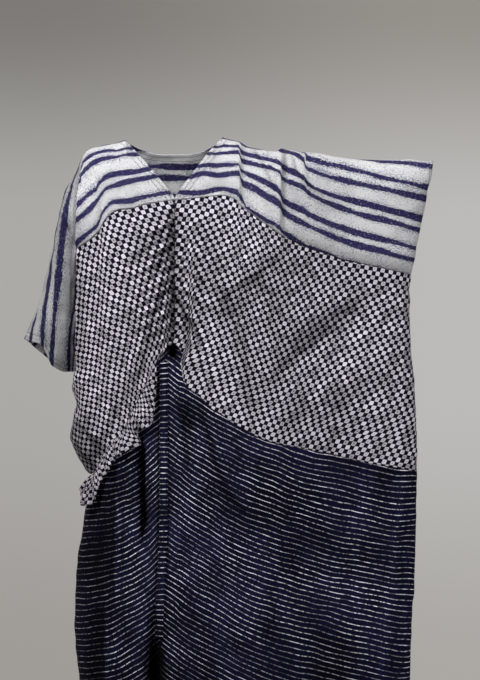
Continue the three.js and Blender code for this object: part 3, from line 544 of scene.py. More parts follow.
# Where each stripe, named by its distance from the first pair, crosses the front:
# x, level z seen from the front
YOKE_STRIPES_HANGING = {
    75: [(-150, -10), (-127, -6), (-105, 0)],
    112: [(-193, -47), (-176, -33), (-160, -25), (-136, -21), (-121, -23), (-103, -18), (-86, -16)],
    134: [(-195, -74), (-179, -58), (-166, -47), (-146, -39), (-127, -37), (-107, -31), (-74, -29)],
    171: [
        (-201, -133), (-185, -117), (-160, -98), (-156, -88), (-142, -76), (-117, -68), (-92, -66),
        (-53, -57),
    ],
    193: [
        (-203, -162), (-185, -148), (-170, -135), (-158, -119), (-142, -98), (-127, -92), (-98, -84),
        (-41, -74),
    ],
    230: [
        (-205, -209), (-191, -195), (-172, -181), (-156, -166), (-150, -148), (-140, -133), (-127, -123),
        (-103, -121), (-78, -115), (-21, -105),
    ],
}
YOKE_STRIPES_RAISED = {
    16: [(335, -37), (429, -45), (495, -55)],
    53: [(245, -39), (332, -58), (390, -74), (495, -96)],
    75: [
        (78, 5), (105, 0), (116, -2), (118, -9), (156, -20), (197, -25), (242, -43), (246, -57),
        (332, -84), (429, -105), (491, -119),
    ],
    112: [
        (64, -15), (86, -14), (116, -14), (118, -25), (146, -35), (196, -51), (198, -55), (242, -78),
        (246, -86), (277, -103), (332, -119), (429, -144), (488, -160),
    ],
    134: [
        (53, -31), (78, -29), (116, -27), (118, -45), (156, -55), (196, -70), (198, -80), (242, -99),
        (246, -105), (302, -131), (332, -142), (429, -168), (484, -183),
    ],
    171: [
        (33, -56), (58, -51), (116, -51), (118, -61), (146, -74), (172, -88), (196, -109), (198, -119),
        (242, -141), (246, -145), (332, -177), (429, -203), (476, -216),
    ],
    193: [
        (20, -75), (47, -68), (78, -74), (116, -68), (118, -85), (140, -96), (166, -113), (196, -131),
        (198, -140), (242, -165), (332, -203), (390, -218), (468, -240),
    ],
    230: [
        (2, -105), (39, -107), (78, -98), (116, -106), (118, -131), (140, -142), (166, -158),
        (196, -174), (198, -185), (242, -207),
    ],
}
# The same stripes on the hanging sleeve: level z, x seen from the front
SLEEVE_STRIPES = {
    16: [(-452, -288), (-390, -288), (-341, -279), (-296, -269)],
    53: [(-452, -269), (-390, -265), (-312, -257), (-234, -248), (-176, -240), (-136, -232), (-98, -222)],
    75: [
        (-452, -250), (-390, -246), (-312, -238), (-234, -230), (-176, -222), (-117, -214), (-98, -211),
        (-62, -203),
    ],
    112: [(-460, -214), (-390, -213), (-350, -208), (-312, -198), (-117, -188)],
}
YOKE_WALL = 1.0
YOKE_STEP = 3.2
SHOULDER_RUN = 200.0
PAIR_PITCH = 59.0
PAIR_CENTRE = 5.0
STRIPE_FROM_CENTRE = 11.0
STRIPE_HALF = 4.9


def ridge_point(share, ridge):
    table = np.array(ridge, float)
    x = along(table[:, [0, 1]], share)
    z = along(table[:, [0, 2]], share)
    return np.stack([x, np.full(np.shape(x), RIDGE_Y), z], -1)


def arch(face, foot, head, sleeve, squareness, cuff, sag, rows):
    """Columns that rise from a foot on a seam over the shoulder or the arm to a head."""
    at = rows[None, :]
    foot, head = foot[:, None, :], head[:, None, :]
    sleeve, cuff, sag = sleeve[:, None], cuff[:, None], sag[:, None]
    power = 2 / squareness[:, None]
    angle = at * np.pi / 2
    up, over = np.sin(angle), np.maximum(np.cos(angle), 0)
    rise = mix(up**power, up**0.8, sleeve)
    fall = mix(over**power, over, sleeve)
    room = np.maximum(0, SLEEVE_BULGE - 0.6 * np.maximum(0, np.abs(foot[..., 1]) - WEB_GAP))
    bulge = room * sleeve * np.sin(np.pi * at) ** 1.35
    bulge = bulge + CUFF_BULGE * cuff * np.sin(np.pi * at**1.2)
    x = mix(foot[..., 0], head[..., 0], rise)
    y = head[..., 1] + (foot[..., 1] - head[..., 1]) * fall + face * bulge
    z = mix(foot[..., 2], head[..., 2], rise)
    z = z + sag * along(FRONT_CUFF_DIP if face == FRONT else BACK_CUFF_DIP, 1 - rise)
    if face == FRONT:
        which = YOKE_CREASES + [c for c in FINE_FRONT_CREASES if c[0][0][1] > -135]
        lift = creases(which, x, z) - creases(which, foot[..., 0], foot[..., 2])
        hold = np.sin(np.pi * np.minimum(at, 0.5)) * ease((1 - at) * 6)
        y = y - lift * hold
    return np.stack([x, y, z], -1)


def yoke_grids(step):
    """Sheets of the yoke: hanging side, raised side, below the neck in front and behind."""
    row_count = int(SHOULDER_RUN / step)
    rows = np.linspace(0, 1, row_count + 1)
    grids, neck_line = [], []
    seams = {FRONT: FRONT_YOKE_SEAM, BACK: BACK_YOKE_SEAM}
    neck_left = float(share_of(NECK_FOOT["left"]))
    neck_right = float(share_of(NECK_FOOT["right"]))
    left = even_shares(FRONT, 0, neck_left, SHOULDER_LEVEL, step)
    right = even_shares(FRONT, neck_right, 1, SHOULDER_LEVEL, step)
    below = even_shares(FRONT, neck_left, neck_right, NECK_LEVEL, step)
    below[np.argmin(np.abs(reference_x(below) - CENTRE_X))] = share_of(CENTRE_X)
    web_count = int((WEB_TOP_Z - UNDERARM_Z) / step)
    halves = {}
    for face in (FRONT, BACK):
        seam = seams[face]
        web_z = np.linspace(UNDERARM_Z, WEB_TOP_Z, web_count + 1)[:-1]
        web_foot = body_points(face, np.zeros(web_count), web_z, 1)
        web_foot[0, 1] += face * UNDERARM_GAP
        web_share = HANGING_WEB_SHARE * np.linspace(0, 1, web_count + 1)[:-1]
        foot = body_points(face, left, seam_levels(face, left, seam), 1)
        x0 = reference_x(left)
        way = (x0 - REFERENCE_LEFT) / (NECK_FOOT["left"] - REFERENCE_LEFT)
        share = np.concatenate([web_share, mix(HANGING_WEB_SHARE, 1, way)])
        foot = np.concatenate([web_foot, foot])
        sleeve = np.concatenate([np.ones(web_count), 1 - ease(way * 1.5)])
        sag = clamp(1 - share / CUFF_DIP_REACH) ** 2
        still = np.zeros(len(share))
        head = ridge_point(share, HANGING_RIDGE)
        hanging = arch(face, foot, head, sleeve, still + 2, still, sag, rows)
        seam_x = np.concatenate([np.full(web_count, REFERENCE_LEFT), x0])
        fold = along(HANGING_FOLD_STRIPE, share)
        halves["hanging", face] = (hanging, along(SEAM_STRIPE, seam_x), fold, share)

        foot = body_points(face, right, seam_levels(face, right, seam), 1)
        foot[-1, 1] += face * UNDERARM_GAP
        x0 = reference_x(right)
        way = (x0 - NECK_FOOT["right"]) / (REFERENCE_RIGHT - NECK_FOOT["right"])
        head = ridge_point(way, RAISED_RIDGE)
        still = np.zeros(len(way))
        square = mix(2, 4, ease(way * 3))
        raised = arch(face, foot, head, still, square, ease((way - 0.6) / 0.4), still, rows)
        fold = along(RAISED_FOLD_STRIPE, way)
        halves["raised", face] = (raised, along(SEAM_STRIPE, x0), fold, way)

        foot = body_points(face, below, seam_levels(face, below, seam), 1)[:, None, :]
        x0 = reference_x(below)
        columns = []
        top = mix(NECK_SIDE["left"][1], NECK_SIDE["right"][1], ease((x0 + 100) / 200)) + NECK_TOP
        for side in ("left", "right"):
            side_x, side_z = NECK_SIDE[side]
            t = clamp((x0 - CENTRE_X) / (NECK_FOOT[side] - CENTRE_X))
            head_x = mix(CENTRE_X, side_x, t)
            if face == FRONT:
                head_z = mix(V_POINT_Z, side_z, t**V_CURVE)
            else:
                head_z = mix(BACK_NECK_Z, side_z, t**BACK_NECK_CURVE)
            z = mix(foot[..., 2], head_z[:, None], rows[None, :])
            way = clamp((z - foot[..., 2]) / (top[:, None] - foot[..., 2]))
            y = mix(foot[..., 1], RIDGE_Y, 1 - np.sqrt(1 - way**2))
            x = mix(foot[..., 0], head_x[:, None], rows[None, :])
            columns.append((np.stack([x, y, z], -1), t))
        on_left = x0 < CENTRE_X
        neck = np.where(on_left[:, None, None], columns[0][0], columns[1][0])
        # the shoulder columns beside the neck are met smoothly
        near_left = ease(1 - (x0 - NECK_FOOT["left"]) / NECK_BLEND)[:, None, None]
        near_right = ease(1 - (NECK_FOOT["right"] - x0) / NECK_BLEND)[:, None, None]
        neck = neck + (hanging[-1] - neck[0]) * near_left + (raised[0] - neck[-1]) * near_right
        t = np.where(on_left, columns[0][1], columns[1][1])
        neck_line.append(neck[:, -1])
        edge_z = neck[:, -1, 2]
        at_neck = along(NECK_STRIPE, edge_z)
        if face == BACK:
            at_neck = NECK_SIDE_STRIPE + np.minimum(0, edge_z)
        halves["neck", face] = (neck, along(SEAM_STRIPE, x0), at_neck, t)
    return halves, np.concatenate(neck_line), rows


def nearest(points, line):
    """Distance from each point to the nearest point of a line."""
    flat = points.reshape(-1, 3)
    best = np.full(len(flat), np.inf)
    for place in line:
        best = np.minimum(best, np.linalg.norm(flat - place, axis=1))
    return best.reshape(points.shape[:-1])


def crossing(way_off, run):
    """First running length at which a column passes from below a stripe to above it."""
    passed = np.flatnonzero((way_off[:-1] < 0) & (way_off[1:] >= 0))
    if not len(passed):
        return None
    i = passed[0]
    part = way_off[i] / (way_off[i] - way_off[i + 1])
    return run[i] + part * (run[i + 1] - run[i])


# Edge of the yoke's front where it lies over the hanging sleeve: level z, x
SLEEVE_EDGE = [(-230, -207), (-176, -201), (-117, -199), (-78, -196), (-45, -192)]


def sleeve_place(x, z):
    """Place on the striped cloth of a point on the visible part of the hanging sleeve."""
    named = sorted(SLEEVE_STRIPES)
    lines = [along(SLEEVE_STRIPES[stripe], z) for stripe in named]
    place = named[0] + np.minimum(0, x - lines[0]) + np.maximum(0, x - lines[-1])
    for near, far, start, end in zip(named, named[1:], lines, lines[1:]):
        place = place + (far - near) * clamp((x - start) / (end - start))
    return place


def sleeve_knots(knots, x, z, run, fold):
    """Where the sleeve's stripes cross a column, and its fold at the end of the column."""
    for stripe, table in sorted(SLEEVE_STRIPES.items(), reverse=True):
        at = crossing(along(table, z) - x, run)
        if at is None or at <= knots[-1][0] + 1 or stripe >= knots[-1][1]:
            continue
        plain = np.interp(at, [knots[-1][0], run[-1]], [knots[-1][1], fold])
        knots.append((at, mix(plain, stripe, ease((run[-1] - at) / 18))))
    if fold < knots[-1][1] and run[-1] > knots[-1][0] + 1:
        knots.append((run[-1], fold))
    return knots


def stripe_places(side, grid, run, seam_stripe, fold_stripe, share):
    """Place on the striped cloth for each point of the front, column by column."""
    places = np.empty(run.shape)
    for i, column in enumerate(grid):
        x, z = column[:, 0], column[:, 2]
        on_sleeve = np.full(len(x), side == "hanging" and share[i] < HANGING_WEB_SHARE)
        if side == "hanging":
            on_sleeve |= (x < along(SLEEVE_EDGE, z)) & (z < -45)
        first = int(np.argmax(on_sleeve)) if on_sleeve.any() else len(x)
        knots = [(0.0, seam_stripe[i])]
        if first > 0:
            found = []
            tables = YOKE_STRIPES_HANGING if x[0] < CENTRE_X else YOKE_STRIPES_RAISED
            for stripe, table in tables.items():
                here = (x >= table[0][0]) & (x <= table[-1][0])
                off = np.where(here, z - along(table, x), np.nan)
                found.append((stripe, crossing(off, run[i])))
            for stripe, at in sorted(found, reverse=True):
                if at is not None and at > knots[-1][0] + 1 and stripe < knots[-1][1]:
                    knots.append((at, stripe))
            fold = (run[i][-1], fold_stripe[i])
            if first == len(x) and fold[0] > knots[-1][0] + 1 and fold[1] < knots[-1][1]:
                knots.append(fold)
            at, stripe = np.array(knots, float).T
            places[i] = np.interp(run[i], at, stripe) - np.maximum(0, run[i] - at[-1])
        if first < len(x):
            if first > 0:
                knots = [(run[i][first], sleeve_place(x, z)[first])]
            rest = slice(first, None)
            knots = sleeve_knots(knots, x[rest], z[rest], run[i][rest], fold_stripe[i])
            at, stripe = np.array(knots, float).T
            past = np.maximum(0, run[i][rest] - at[-1])
            places[i][rest] = np.interp(run[i][rest], at, stripe) - past
    return places


# Shaded folds of the yoke: line, half width, share of the light lost, sharp side
YOKE_SHADED_FOLDS = [
    ([(118, -2), (117, -50), (116, -108), (118, -128)], 7, 0.42, -1),
    ([(140, -14), (160, -44), (172, -68), (184, -96)], 5, 0.36, 1),
    ([(198, -14), (197, -70), (196, -130), (196, -180)], 7, 0.45, -1),
    ([(214, -22), (226, -60), (240, -78), (262, -98), (300, -113)], 6, 0.40, 1),
    ([(60, -30), (66, -60), (90, -86)], 10, 0.14, 0),
    ([(-152, -120), (-152, -150), (-158, -176)], 8, 0.30, 1),
    ([(-120, -60), (-140, -80), (-170, -120)], 10, 0.12, 0),
]
# Share of the light on the sleeve that hangs behind the yoke's edge
SLEEVE_LIGHT = 0.66


def yoke_shade(side, grid):
    x, z = grid[..., 0], grid[..., 2]
    lost = [crease_rise(fold, x, z, 0.15) for fold in YOKE_SHADED_FOLDS]
    shade = np.prod([1 - np.clip(share, 0, 0.9) for share in lost], axis=0)
    if side != "hanging":
        return shade
    behind = along(SLEEVE_EDGE, z) - x
    below = ease((-35 - z) / 25)
    line = 0.45 * np.exp(-(((behind - 2) / 3) ** 2)) * below
    return shade * mix(1, SLEEVE_LIGHT, ease(behind / 4) * below) * (1 - line)


def yoke_piece(step):
    halves, neck_line, rows = yoke_grids(step)
    shaped = {}
    for (side, face), (grid, *_) in halves.items():
        shaped[side, face] = handled(grid, -face, np.minimum(lengths(grid, 1), 60), 1.5)
        if side != "neck":
            shaped[side, face][:, -1] = grid[:, -1]
    for face in (FRONT, BACK):
        for side, last, first in (("hanging", -1, 0), ("raised", 0, -1)):
            join = (shaped[side, face][last] + shaped["neck", face][first]) / 2
            shaped[side, face][last] = shaped["neck", face][first] = join
    travels, start = {}, 0.0
    for side in ("hanging", "neck", "raised"):
        grid = halves[side, FRONT][0]
        travels[side] = start + lengths(grid, 0)[:, grid.shape[1] // 2]
        start = travels[side][-1]
    grids = []
    for (side, face), (grid, seam_stripe, fold_stripe, share) in halves.items():
        run = lengths(grid, 1)
        if face == FRONT:
            stripe = stripe_places(side, grid, run, seam_stripe, fold_stripe, share)
        else:
            stripe = fold_stripe[:, None] - (run[:, -1:] - run)
        across = lengths(grid, 0)
        travel = travels[side][:, None] + np.zeros(run.shape)
        hem = nearest(grid, neck_line[::2])
        if side == "hanging":
            hem = np.minimum(hem, across)
        if side == "raised":
            hem = np.minimum(hem, across[-1:] - across)
        sewn = np.stack([run, travel, hem], -1)
        shade = yoke_shade(side, grid) if face == FRONT else 1.0
        cut = np.stack([travel, stripe], -1)
        grids.append((shaped[side, face], face == FRONT, cut, sewn, shade))
    return mesh_piece("yoke_cloth", grids, YOKE_WALL)


yoke = yoke_piece(YOKE_STEP)

# Washed plain weave without shine; the stripes are a block print with soft uneven edges
INDIGO = (0.026, 0.021, 0.085)
OFF_WHITE = (0.72, 0.72, 0.735)
FLECK = (0.07, 0.07, 0.17)
STITCH_LENGTH = 3.4
NECK_STITCHES = (7.0, 15.0)


class Finish:
    """Builds one node material, each call adding a node and returning its output."""

    def __init__(self, name):
        self.material = bpy.data.materials.new(name)
        self.material.use_nodes = True
        self.tree = self.material.node_tree
        self.tree.nodes.clear()

    def add(self, kind, *values, output=0, **settings):
        made = self.tree.nodes.new(kind)
        for key, value in settings.items():
            setattr(made, key, value)
        for socket, value in zip(made.inputs, values):
            self.put(socket, value)
        return made.outputs[output]

    def put(self, socket, value):
        if value is None:
            return
        if isinstance(value, bpy.types.NodeSocket):
            self.tree.links.new(value, socket)
        else:
            socket.default_value = value

    def math(self, kind, *values):
        return self.add("ShaderNodeMath", *values, operation=kind)

    def parts(self, name):
        read = self.add("ShaderNodeAttribute", attribute_name=name, output=1)
        split = self.tree.nodes.new("ShaderNodeSeparateXYZ")
        self.tree.links.new(read, split.inputs[0])
        return split.outputs[0], split.outputs[1], split.outputs[2]

    def point(self, x, y, z=0.0):
        return self.add("ShaderNodeCombineXYZ", x, y, z)

    def noise(self, x, y, x_scale, y_scale, detail=2.0, turn=0.0):
        place = self.point(self.math("MULTIPLY", x, x_scale), self.math("MULTIPLY", y, y_scale), turn)
        made = self.tree.nodes.new("ShaderNodeTexNoise")
        self.put(made.inputs["Vector"], place)
        made.inputs["Scale"].default_value = 1.0
        made.inputs["Detail"].default_value = detail
        made.inputs["Roughness"].default_value = 0.6
        return made.outputs[0]

    def chance(self, x, y, turn=0.0):
        made = self.tree.nodes.new("ShaderNodeTexWhiteNoise")
        self.put(made.inputs["Vector"], self.point(x, y, turn))
        return made.outputs[0]

    def fade(self, value, start, end, low=0.0, high=1.0):
        made = self.tree.nodes.new("ShaderNodeMapRange")
        made.interpolation_type = "SMOOTHSTEP"
        for socket, amount in zip(made.inputs, (value, start, end, low, high)):
            self.put(socket, amount)
        return made.outputs[0]

    def spread(self, value, amount):
        """The value less a half, times an amount."""
        return self.math("MULTIPLY", self.math("SUBTRACT", value, 0.5), amount)

    def blend(self, first, second, factor, kind="MIX"):
        made = self.tree.nodes.new("ShaderNodeMix")
        made.data_type = "RGBA"
        made.blend_type = kind
        self.put(made.inputs[0], factor)
        for socket, colour in ((made.inputs[6], first), (made.inputs[7], second)):
            self.put(socket, colour if isinstance(colour, bpy.types.NodeSocket) else (*colour, 1.0))
        return made.outputs[2]

    def shade(self, colour, factor):
        """The colour times a grey value."""
        grey = self.add("ShaderNodeCombineColor", factor, factor, factor)
        return self.blend(colour, grey, 1.0, "MULTIPLY")

    def finish(self, colour, height, rough, sheen):
        bump = self.tree.nodes.new("ShaderNodeBump")
        bump.inputs["Strength"].default_value = 0.6
        bump.inputs["Distance"].default_value = 0.0006
        self.put(bump.inputs["Height"], height)
        cloth = self.tree.nodes.new("ShaderNodeBsdfPrincipled")
        self.put(cloth.inputs["Base Color"], colour)
        cloth.inputs["Roughness"].default_value = rough
        cloth.inputs["IOR"].default_value = 1.3
        cloth.inputs["Specular IOR Level"].default_value = 0.15
        cloth.inputs["Sheen Weight"].default_value = sheen
        cloth.inputs["Sheen Roughness"].default_value = 0.5
        self.put(cloth.inputs["Normal"], bump.outputs[0])
        out = self.tree.nodes.new("ShaderNodeOutputMaterial")
        self.put(out.inputs[0], cloth.outputs[0])
        return self.material


def seam_shadow_and_stitches(finish, colour, lines):
    """Painted seam shadow and rows of hem stitches at given distances from an edge."""
    seam, run, hem = finish.parts("sewn")
    painted_seam_shadow = finish.fade(seam, 0.5, 1.8, 0.45, 1.0)
    colour = finish.shade(colour, painted_seam_shadow)
    dash = finish.fade(finish.math("PINGPONG", run, STITCH_LENGTH / 2), 0.25, 0.6)
    for away in lines:
        off = finish.math("ABSOLUTE", finish.math("SUBTRACT", hem, away))
        line = finish.fade(off, 0.45, 1.0, 1.0, 0.0)
        line = finish.math("MULTIPLY", line, finish.math("MULTIPLY_ADD", dash, 0.5, 0.5))
        lit = finish.math("SUBTRACT", 1.0, finish.math("MULTIPLY", line, 0.55))
        colour = finish.shade(colour, lit)
    return colour


def weave(finish, x, y):
    """Uneven yarns both ways, as a height."""
    warp = finish.noise(x, y, 1.6, 0.06, 1.0)
    weft = finish.noise(x, y, 0.06, 1.6, 1.0, 4.0)
    return finish.math("ADD", warp, weft)


def striped_cotton():
    cotton = Finish("striped_cotton")
    # the third value of cut is the painted shade of the folds, called light here
    x, y, light = cotton.parts("cut")
    drift = cotton.spread(cotton.noise(x, y, 0.012, 0.012), 5.0)
    ragged = cotton.spread(cotton.noise(x, y, 0.16, 0.42, 4.0), 8.0)
    place = cotton.math("ADD", y, cotton.math("ADD", drift, ragged))
    pair = cotton.math("WRAP", place, PAIR_CENTRE + PAIR_PITCH / 2, PAIR_CENTRE - PAIR_PITCH / 2)
    off = cotton.math("ABSOLUTE", cotton.math("SUBTRACT", pair, PAIR_CENTRE))
    off = cotton.math("ABSOLUTE", cotton.math("SUBTRACT", off, STRIPE_FROM_CENTRE))
    uneven = cotton.noise(x, y, 0.010, 0.03, 1.0, 12.0)
    half = cotton.fade(uneven, 0.35, 0.65, STRIPE_HALF - 1.5, STRIPE_HALF + 1.9)
    inked = cotton.fade(cotton.math("SUBTRACT", off, half), 0.7, -0.7)
    dry = cotton.fade(cotton.noise(x, y, 0.22, 0.6, 4.0, 9.0), 0.57, 0.67, 1.0, 0.40)
    inked = cotton.math("MULTIPLY", inked, dry)
    slub = cotton.noise(x, y, 0.05, 1.3, 2.0, 2.0)
    near = cotton.fade(off, STRIPE_HALF + 9.0, STRIPE_HALF, 0.0, 0.10)
    patchy = cotton.spread(cotton.noise(x, y, 0.02, 0.035, 2.0, 8.0), 0.26)
    speck = cotton.math("ADD", cotton.noise(x, y, 0.30, 0.48, 3.0, 6.0), cotton.math("ADD", near, patchy))
    fleck = cotton.fade(speck, 0.575, 0.625)
    ground = cotton.shade(OFF_WHITE, cotton.fade(slub, 0.3, 0.7, 0.80, 1.04))
    ground = cotton.blend(ground, FLECK, cotton.math("MULTIPLY", fleck, 0.70))
    colour = cotton.blend(ground, INDIGO, inked)
    colour = cotton.shade(seam_shadow_and_stitches(cotton, colour, NECK_STITCHES), light)
    return cotton.finish(colour, weave(cotton, x, y), 0.9, 0.03)


cottons = {"striped_cotton": striped_cotton()}


def fitted(piece, node, cloth):
    """Gives a piece its cloth and puts it in the place of its own solid."""
    piece.data.materials.append(cottons[cloth])
    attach(piece, "root")
    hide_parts(node)


fitted(yoke, "yoke_with_sleeves", "striped_cotton")


# Three panels of thin block-printed cotton, small near-black and off-white
# checks, sewn below the yoke: two in front, gathered on the centre seam, and
# one behind. They blouse over the slanting waist seam on the hanging side.

NO_EDGE = 1000.0
CHECK_WALL = 0.9
CHECK_LEVEL = -450
SKIRT_LEVEL = -900

# Where deep folds keep the light out: line, half width, share of the light lost, sharp side
SHADED_FOLDS = [
    ([(-14, -398), (-12, -410), (-7, -430)], 9, 0.95, 0),
    ([(-37, -404), (-39, -470), (-41, -570)], 3.5, 0.75, 0),
    ([(-72, -574), (-69, -640), (-67, -720), (-68, -780)], 6, 0.95, 0),
    ([(-43, -962), (-43, -1010), (-43, -1200), (-44, HEM_Z)], 19, 1.3, 0),
    ([(-124, -650), (-124, -760), (-126, -905)], 62, 0.80, 1),
    ([(-143, -880), (-144, -1060), (-145, HEM_Z)], 50, 0.80, 1),
    ([(-110, -640), (-108, -760), (-108, -860)], 4, 0.55, 0),
    ([(-38.5, -436), (-38.5, -720), (-46, -960)], 2.6, 0.80, 0),
    ([(-19, -436), (-19, -720), (-27, -960)], 2.4, 0.60, 0),
    ([(-150, -700), (-152, -900), (-160, -1100)], 12, 0.35, 0),
    ([(33, -498), (62, -592), (88, -683), (146, -741)], 7, 0.60, 0),
    ([(0, -498), (12, -566), (20, -663)], 6, 0.55, 0),
    ([(8, -500), (15, -535), (22, -566)], 18, 0.78, 0),
    ([(70, -600), (120, -700), (200, -760)], 22, 0.35, 0),
    ([(300, -1000), (260, -1100), (200, -1200)], 60, 0.45, 0),
    ([(440, -660), (430, -800), (410, -1000), (400, HEM_Z)], 26, 0.40, -1),
    ([(40, -880), (60, -1000), (80, HEM_Z)], 18, 0.40, 0),
    ([(-214, -530), (-190, -600), (-168, -640), (-160, -660)], 30, 0.50, 0),
    ([(-204, -540), (-158, -582), (-127, -612)], 6, 0.70, 1),
    ([(-200, -584), (-168, -630), (-152, -652)], 7, 0.75, 1),
    ([(-110, -492), (-82, -546), (-76, -560)], 6, 0.45, 0),
    ([(-208, -500), (-180, -540), (-150, -560)], 6, 0.45, 1),
    ([(-13, -140), (-14, -200), (-14, -300), (-12, -392)], 13, 0.42, 0),
    ([(-14, -185), (-40, -225), (-66, -262)], 9, 0.50, -1),
    ([(-12, -312), (-60, -400), (-88, -478)], 7, 0.50, -1),
    ([(-8, -300), (16, -350), (28, -420)], 7, 0.45, 1),
    ([(126, -180), (84, -248), (20, -288)], 17, 0.38, -1),
    ([(-30, -420), (-52, -450), (-60, -520)], 8, 0.40, 0),
    ([(-140, -1110), (60, -1115), (330, -1120)], 130, 0.45, 0),
    ([(-178, -700), (-180, -900), (-186, HEM_Z)], 46, 0.48, 0),
    ([(-70, -300), (-92, -380), (-110, -470)], 8, 0.28, 1),
    ([(-40, -330), (-62, -372), (-84, -440)], 5, 0.35, 1),
    ([(30, -260), (60, -300), (110, -322)], 9, 0.30, -1),
    ([(-2, -240), (10, -290), (40, -330)], 5, 0.45, 1),
    ([(-60, -520), (-84, -580), (-112, -604)], 5, 0.40, 1),
    ([(-150, -480), (-120, -540), (-104, -596)], 6, 0.30, -1),
    ([(140, -262), (170, -300), (215, -322)], 20, 0.36, 0),
    ([(40, -150), (64, -190), (60, -240)], 34, 0.30, 0),
    ([(-40, -150), (-70, -190), (-90, -260)], 20, 0.15, 0),
    ([(-60, -430), (-110, -500), (-140, -560)], 14, 0.25, 0),
    ([(150, -200), (200, -240), (260, -262)], 22, 0.18, 0),
    ([(-186, -560), (-160, -600), (-140, -620)], 9, 0.45, 0),
    ([(-12, -250), (-10, -330), (-14, -396)], 6, 0.55, 0),
    ([(-16, -140), (-14, -180), (-12, -240)], 7, 0.45, 0),
    ([(-16, -172), (-62, -211), (-105, -253)], 9, 0.42, 0),
    ([(-16, -210), (-31, -234), (-51, -269)], 5, 0.45, 0),
    ([(-26, -284), (-47, -339), (-62, -402)], 6, 0.50, 0),
    ([(-12, -296), (16, -347), (39, -394)], 5, 0.55, 0),
    ([(0, -312), (31, -370), (44, -410)], 4, 0.50, 0),
    ([(19, -246), (55, -256), (90, -236)], 8, 0.35, 0),
    ([(88, -292), (117, -390), (150, -565)], 17, 0.30, 0),
    ([(380, -312), (292, -370), (234, -410), (150, -560)], 15, 0.30, 0),
    ([(60, -300), (100, -330), (130, -300), (140, -250)], 22, 0.22, 0),
    ([(300, -470), (320, -540), (300, -600)], 18, 0.18, 0),
    ([(-196, -240), (-192, -340), (-196, -440)], 12, 0.30, 0),
]


def fold_shade(x, z):
    """Share of the light that reaches the cloth at the bottom of its folds."""
    lost = [crease_rise(fold, x, z, 0.05) for fold in SHADED_FOLDS]
    left = np.prod([1 - np.clip(share, 0, 0.93) for share in lost], axis=0)
    return np.maximum(left, 0.06)


def turned_rows(angles, sign):
    """How far a row of the pattern has sunk at each x, from its slope in degrees at a few x."""
    x = np.linspace(-260, 520, 781)
    slope = np.tan(np.radians(along(angles, x)))
    sunk = np.concatenate([[0], np.cumsum((slope[1:] + slope[:-1]) / 2)])
    sunk = sunk - np.interp(CENTRE_X, x, sunk)
    return lambda at: sign * np.interp(at, x, sunk)


def panel(face, from_x, to_x, top, bottom, step, slopes, sign, steady, settle, loose=1.0):
    """Grid of one body panel with its place on the flat cloth and its distance from the seams."""
    level = CHECK_LEVEL if bottom else SKIRT_LEVEL
    ends = [0.0 if x <= REFERENCE_LEFT else 1.0 if x >= REFERENCE_RIGHT else float(share_of(x))
            for x in (from_x, to_x)]
    shares = even_shares(face, ends[0], ends[1], level, step)
    tops = seam_levels(face, shares, top)
    bottoms = seam_levels(face, shares, bottom) if bottom else np.full(len(shares), HEM_Z)
    count = int(np.max(tops - bottoms) / step)
    z = mix(tops[:, None], bottoms[:, None], np.linspace(0, 1, count + 1)[None, :])
    grid = body_points(face, shares[:, None], z, 2 if bottom else 3)
    plain = body_points(face, shares[:, None], z, 0)
    across = lengths(plain, 0)
    if to_x <= CENTRE_X:
        across = across - across[-1:]
    elif face == BACK:
        across = across - across[len(shares) // 2]
    down = lengths(grid, 1)
    sides = np.minimum(across - across[:1], across[-1:] - across)
    ends_away = np.minimum(down, down[:, -1:] - down) if bottom else down
    seam = np.minimum(sides, ends_away)
    run = np.where(ends_away <= sides, across, -z)
    hem = np.full_like(seam, NO_EDGE) if bottom else down[:, -1:] - down
    sunk = turned_rows(slopes, sign)(plain[..., 0]) * settle(z)
    tilt = math.tan(math.radians(steady)) * sign
    scale = math.cos(math.radians(steady))
    cut = np.stack([scale * (across - tilt * z), scale * (z + sunk)], -1)
    shaped = handled(grid, face, seam, loose)
    shade = fold_shade(grid[..., 0], grid[..., 2]) if face == FRONT else 1.0
    return shaped, face == BACK, cut, np.stack([seam, run, hem], -1), shade


LEVEL_ROWS = [(-260, 0), (520, 0)]
CHECK_SLOPE_RAISED = [
    (-9, 3), (20, 6), (49, 14), (78, 17), (117, 20), (160, 23), (185, 17), (214, 11),
    (292, 8.5), (351, 9), (419, 11),
]
CHECK_SLOPE_HANGING = [
    (-195, 40), (-175, 36), (-156, 30), (-136, 27), (-107, 24), (-78, 19), (-39, 15), (-9, 8),
]


def unchanged(z):
    return np.ones_like(z)


front_hanging = mesh_piece("checked_front_hanging_cloth", [panel(
    FRONT, REFERENCE_LEFT, CENTRE_X, FRONT_YOKE_SEAM, FRONT_WAIST_SEAM, step=2.6,
    slopes=CHECK_SLOPE_HANGING, sign=-1, steady=26,
    settle=lambda z: mix(0.75, 1.08, ease((-z - 160) / 240)), loose=2.0,
)], CHECK_WALL)
front_raised = mesh_piece("checked_front_raised_cloth", [panel(
    FRONT, CENTRE_X, REFERENCE_RIGHT, FRONT_YOKE_SEAM, FRONT_WAIST_SEAM, step=2.8,
    slopes=CHECK_SLOPE_RAISED, sign=1, steady=13, settle=unchanged, loose=2.0,
)], CHECK_WALL)
checked_back = mesh_piece("checked_back_cloth", [panel(
    BACK, REFERENCE_LEFT, REFERENCE_RIGHT, BACK_YOKE_SEAM, BACK_WAIST_SEAM, step=3.6,
    slopes=LEVEL_ROWS, sign=1, steady=0, settle=unchanged,
)], CHECK_WALL)

# Two-colour block print; some white squares are stronger and have a small dark middle
PRINT_BLACK = (0.0060, 0.0040, 0.0125)
PRINT_WHITE = (0.60, 0.57, 0.64)
CHECK_SIDE = 8.2
CHECK_SQUARENESS = 3.4


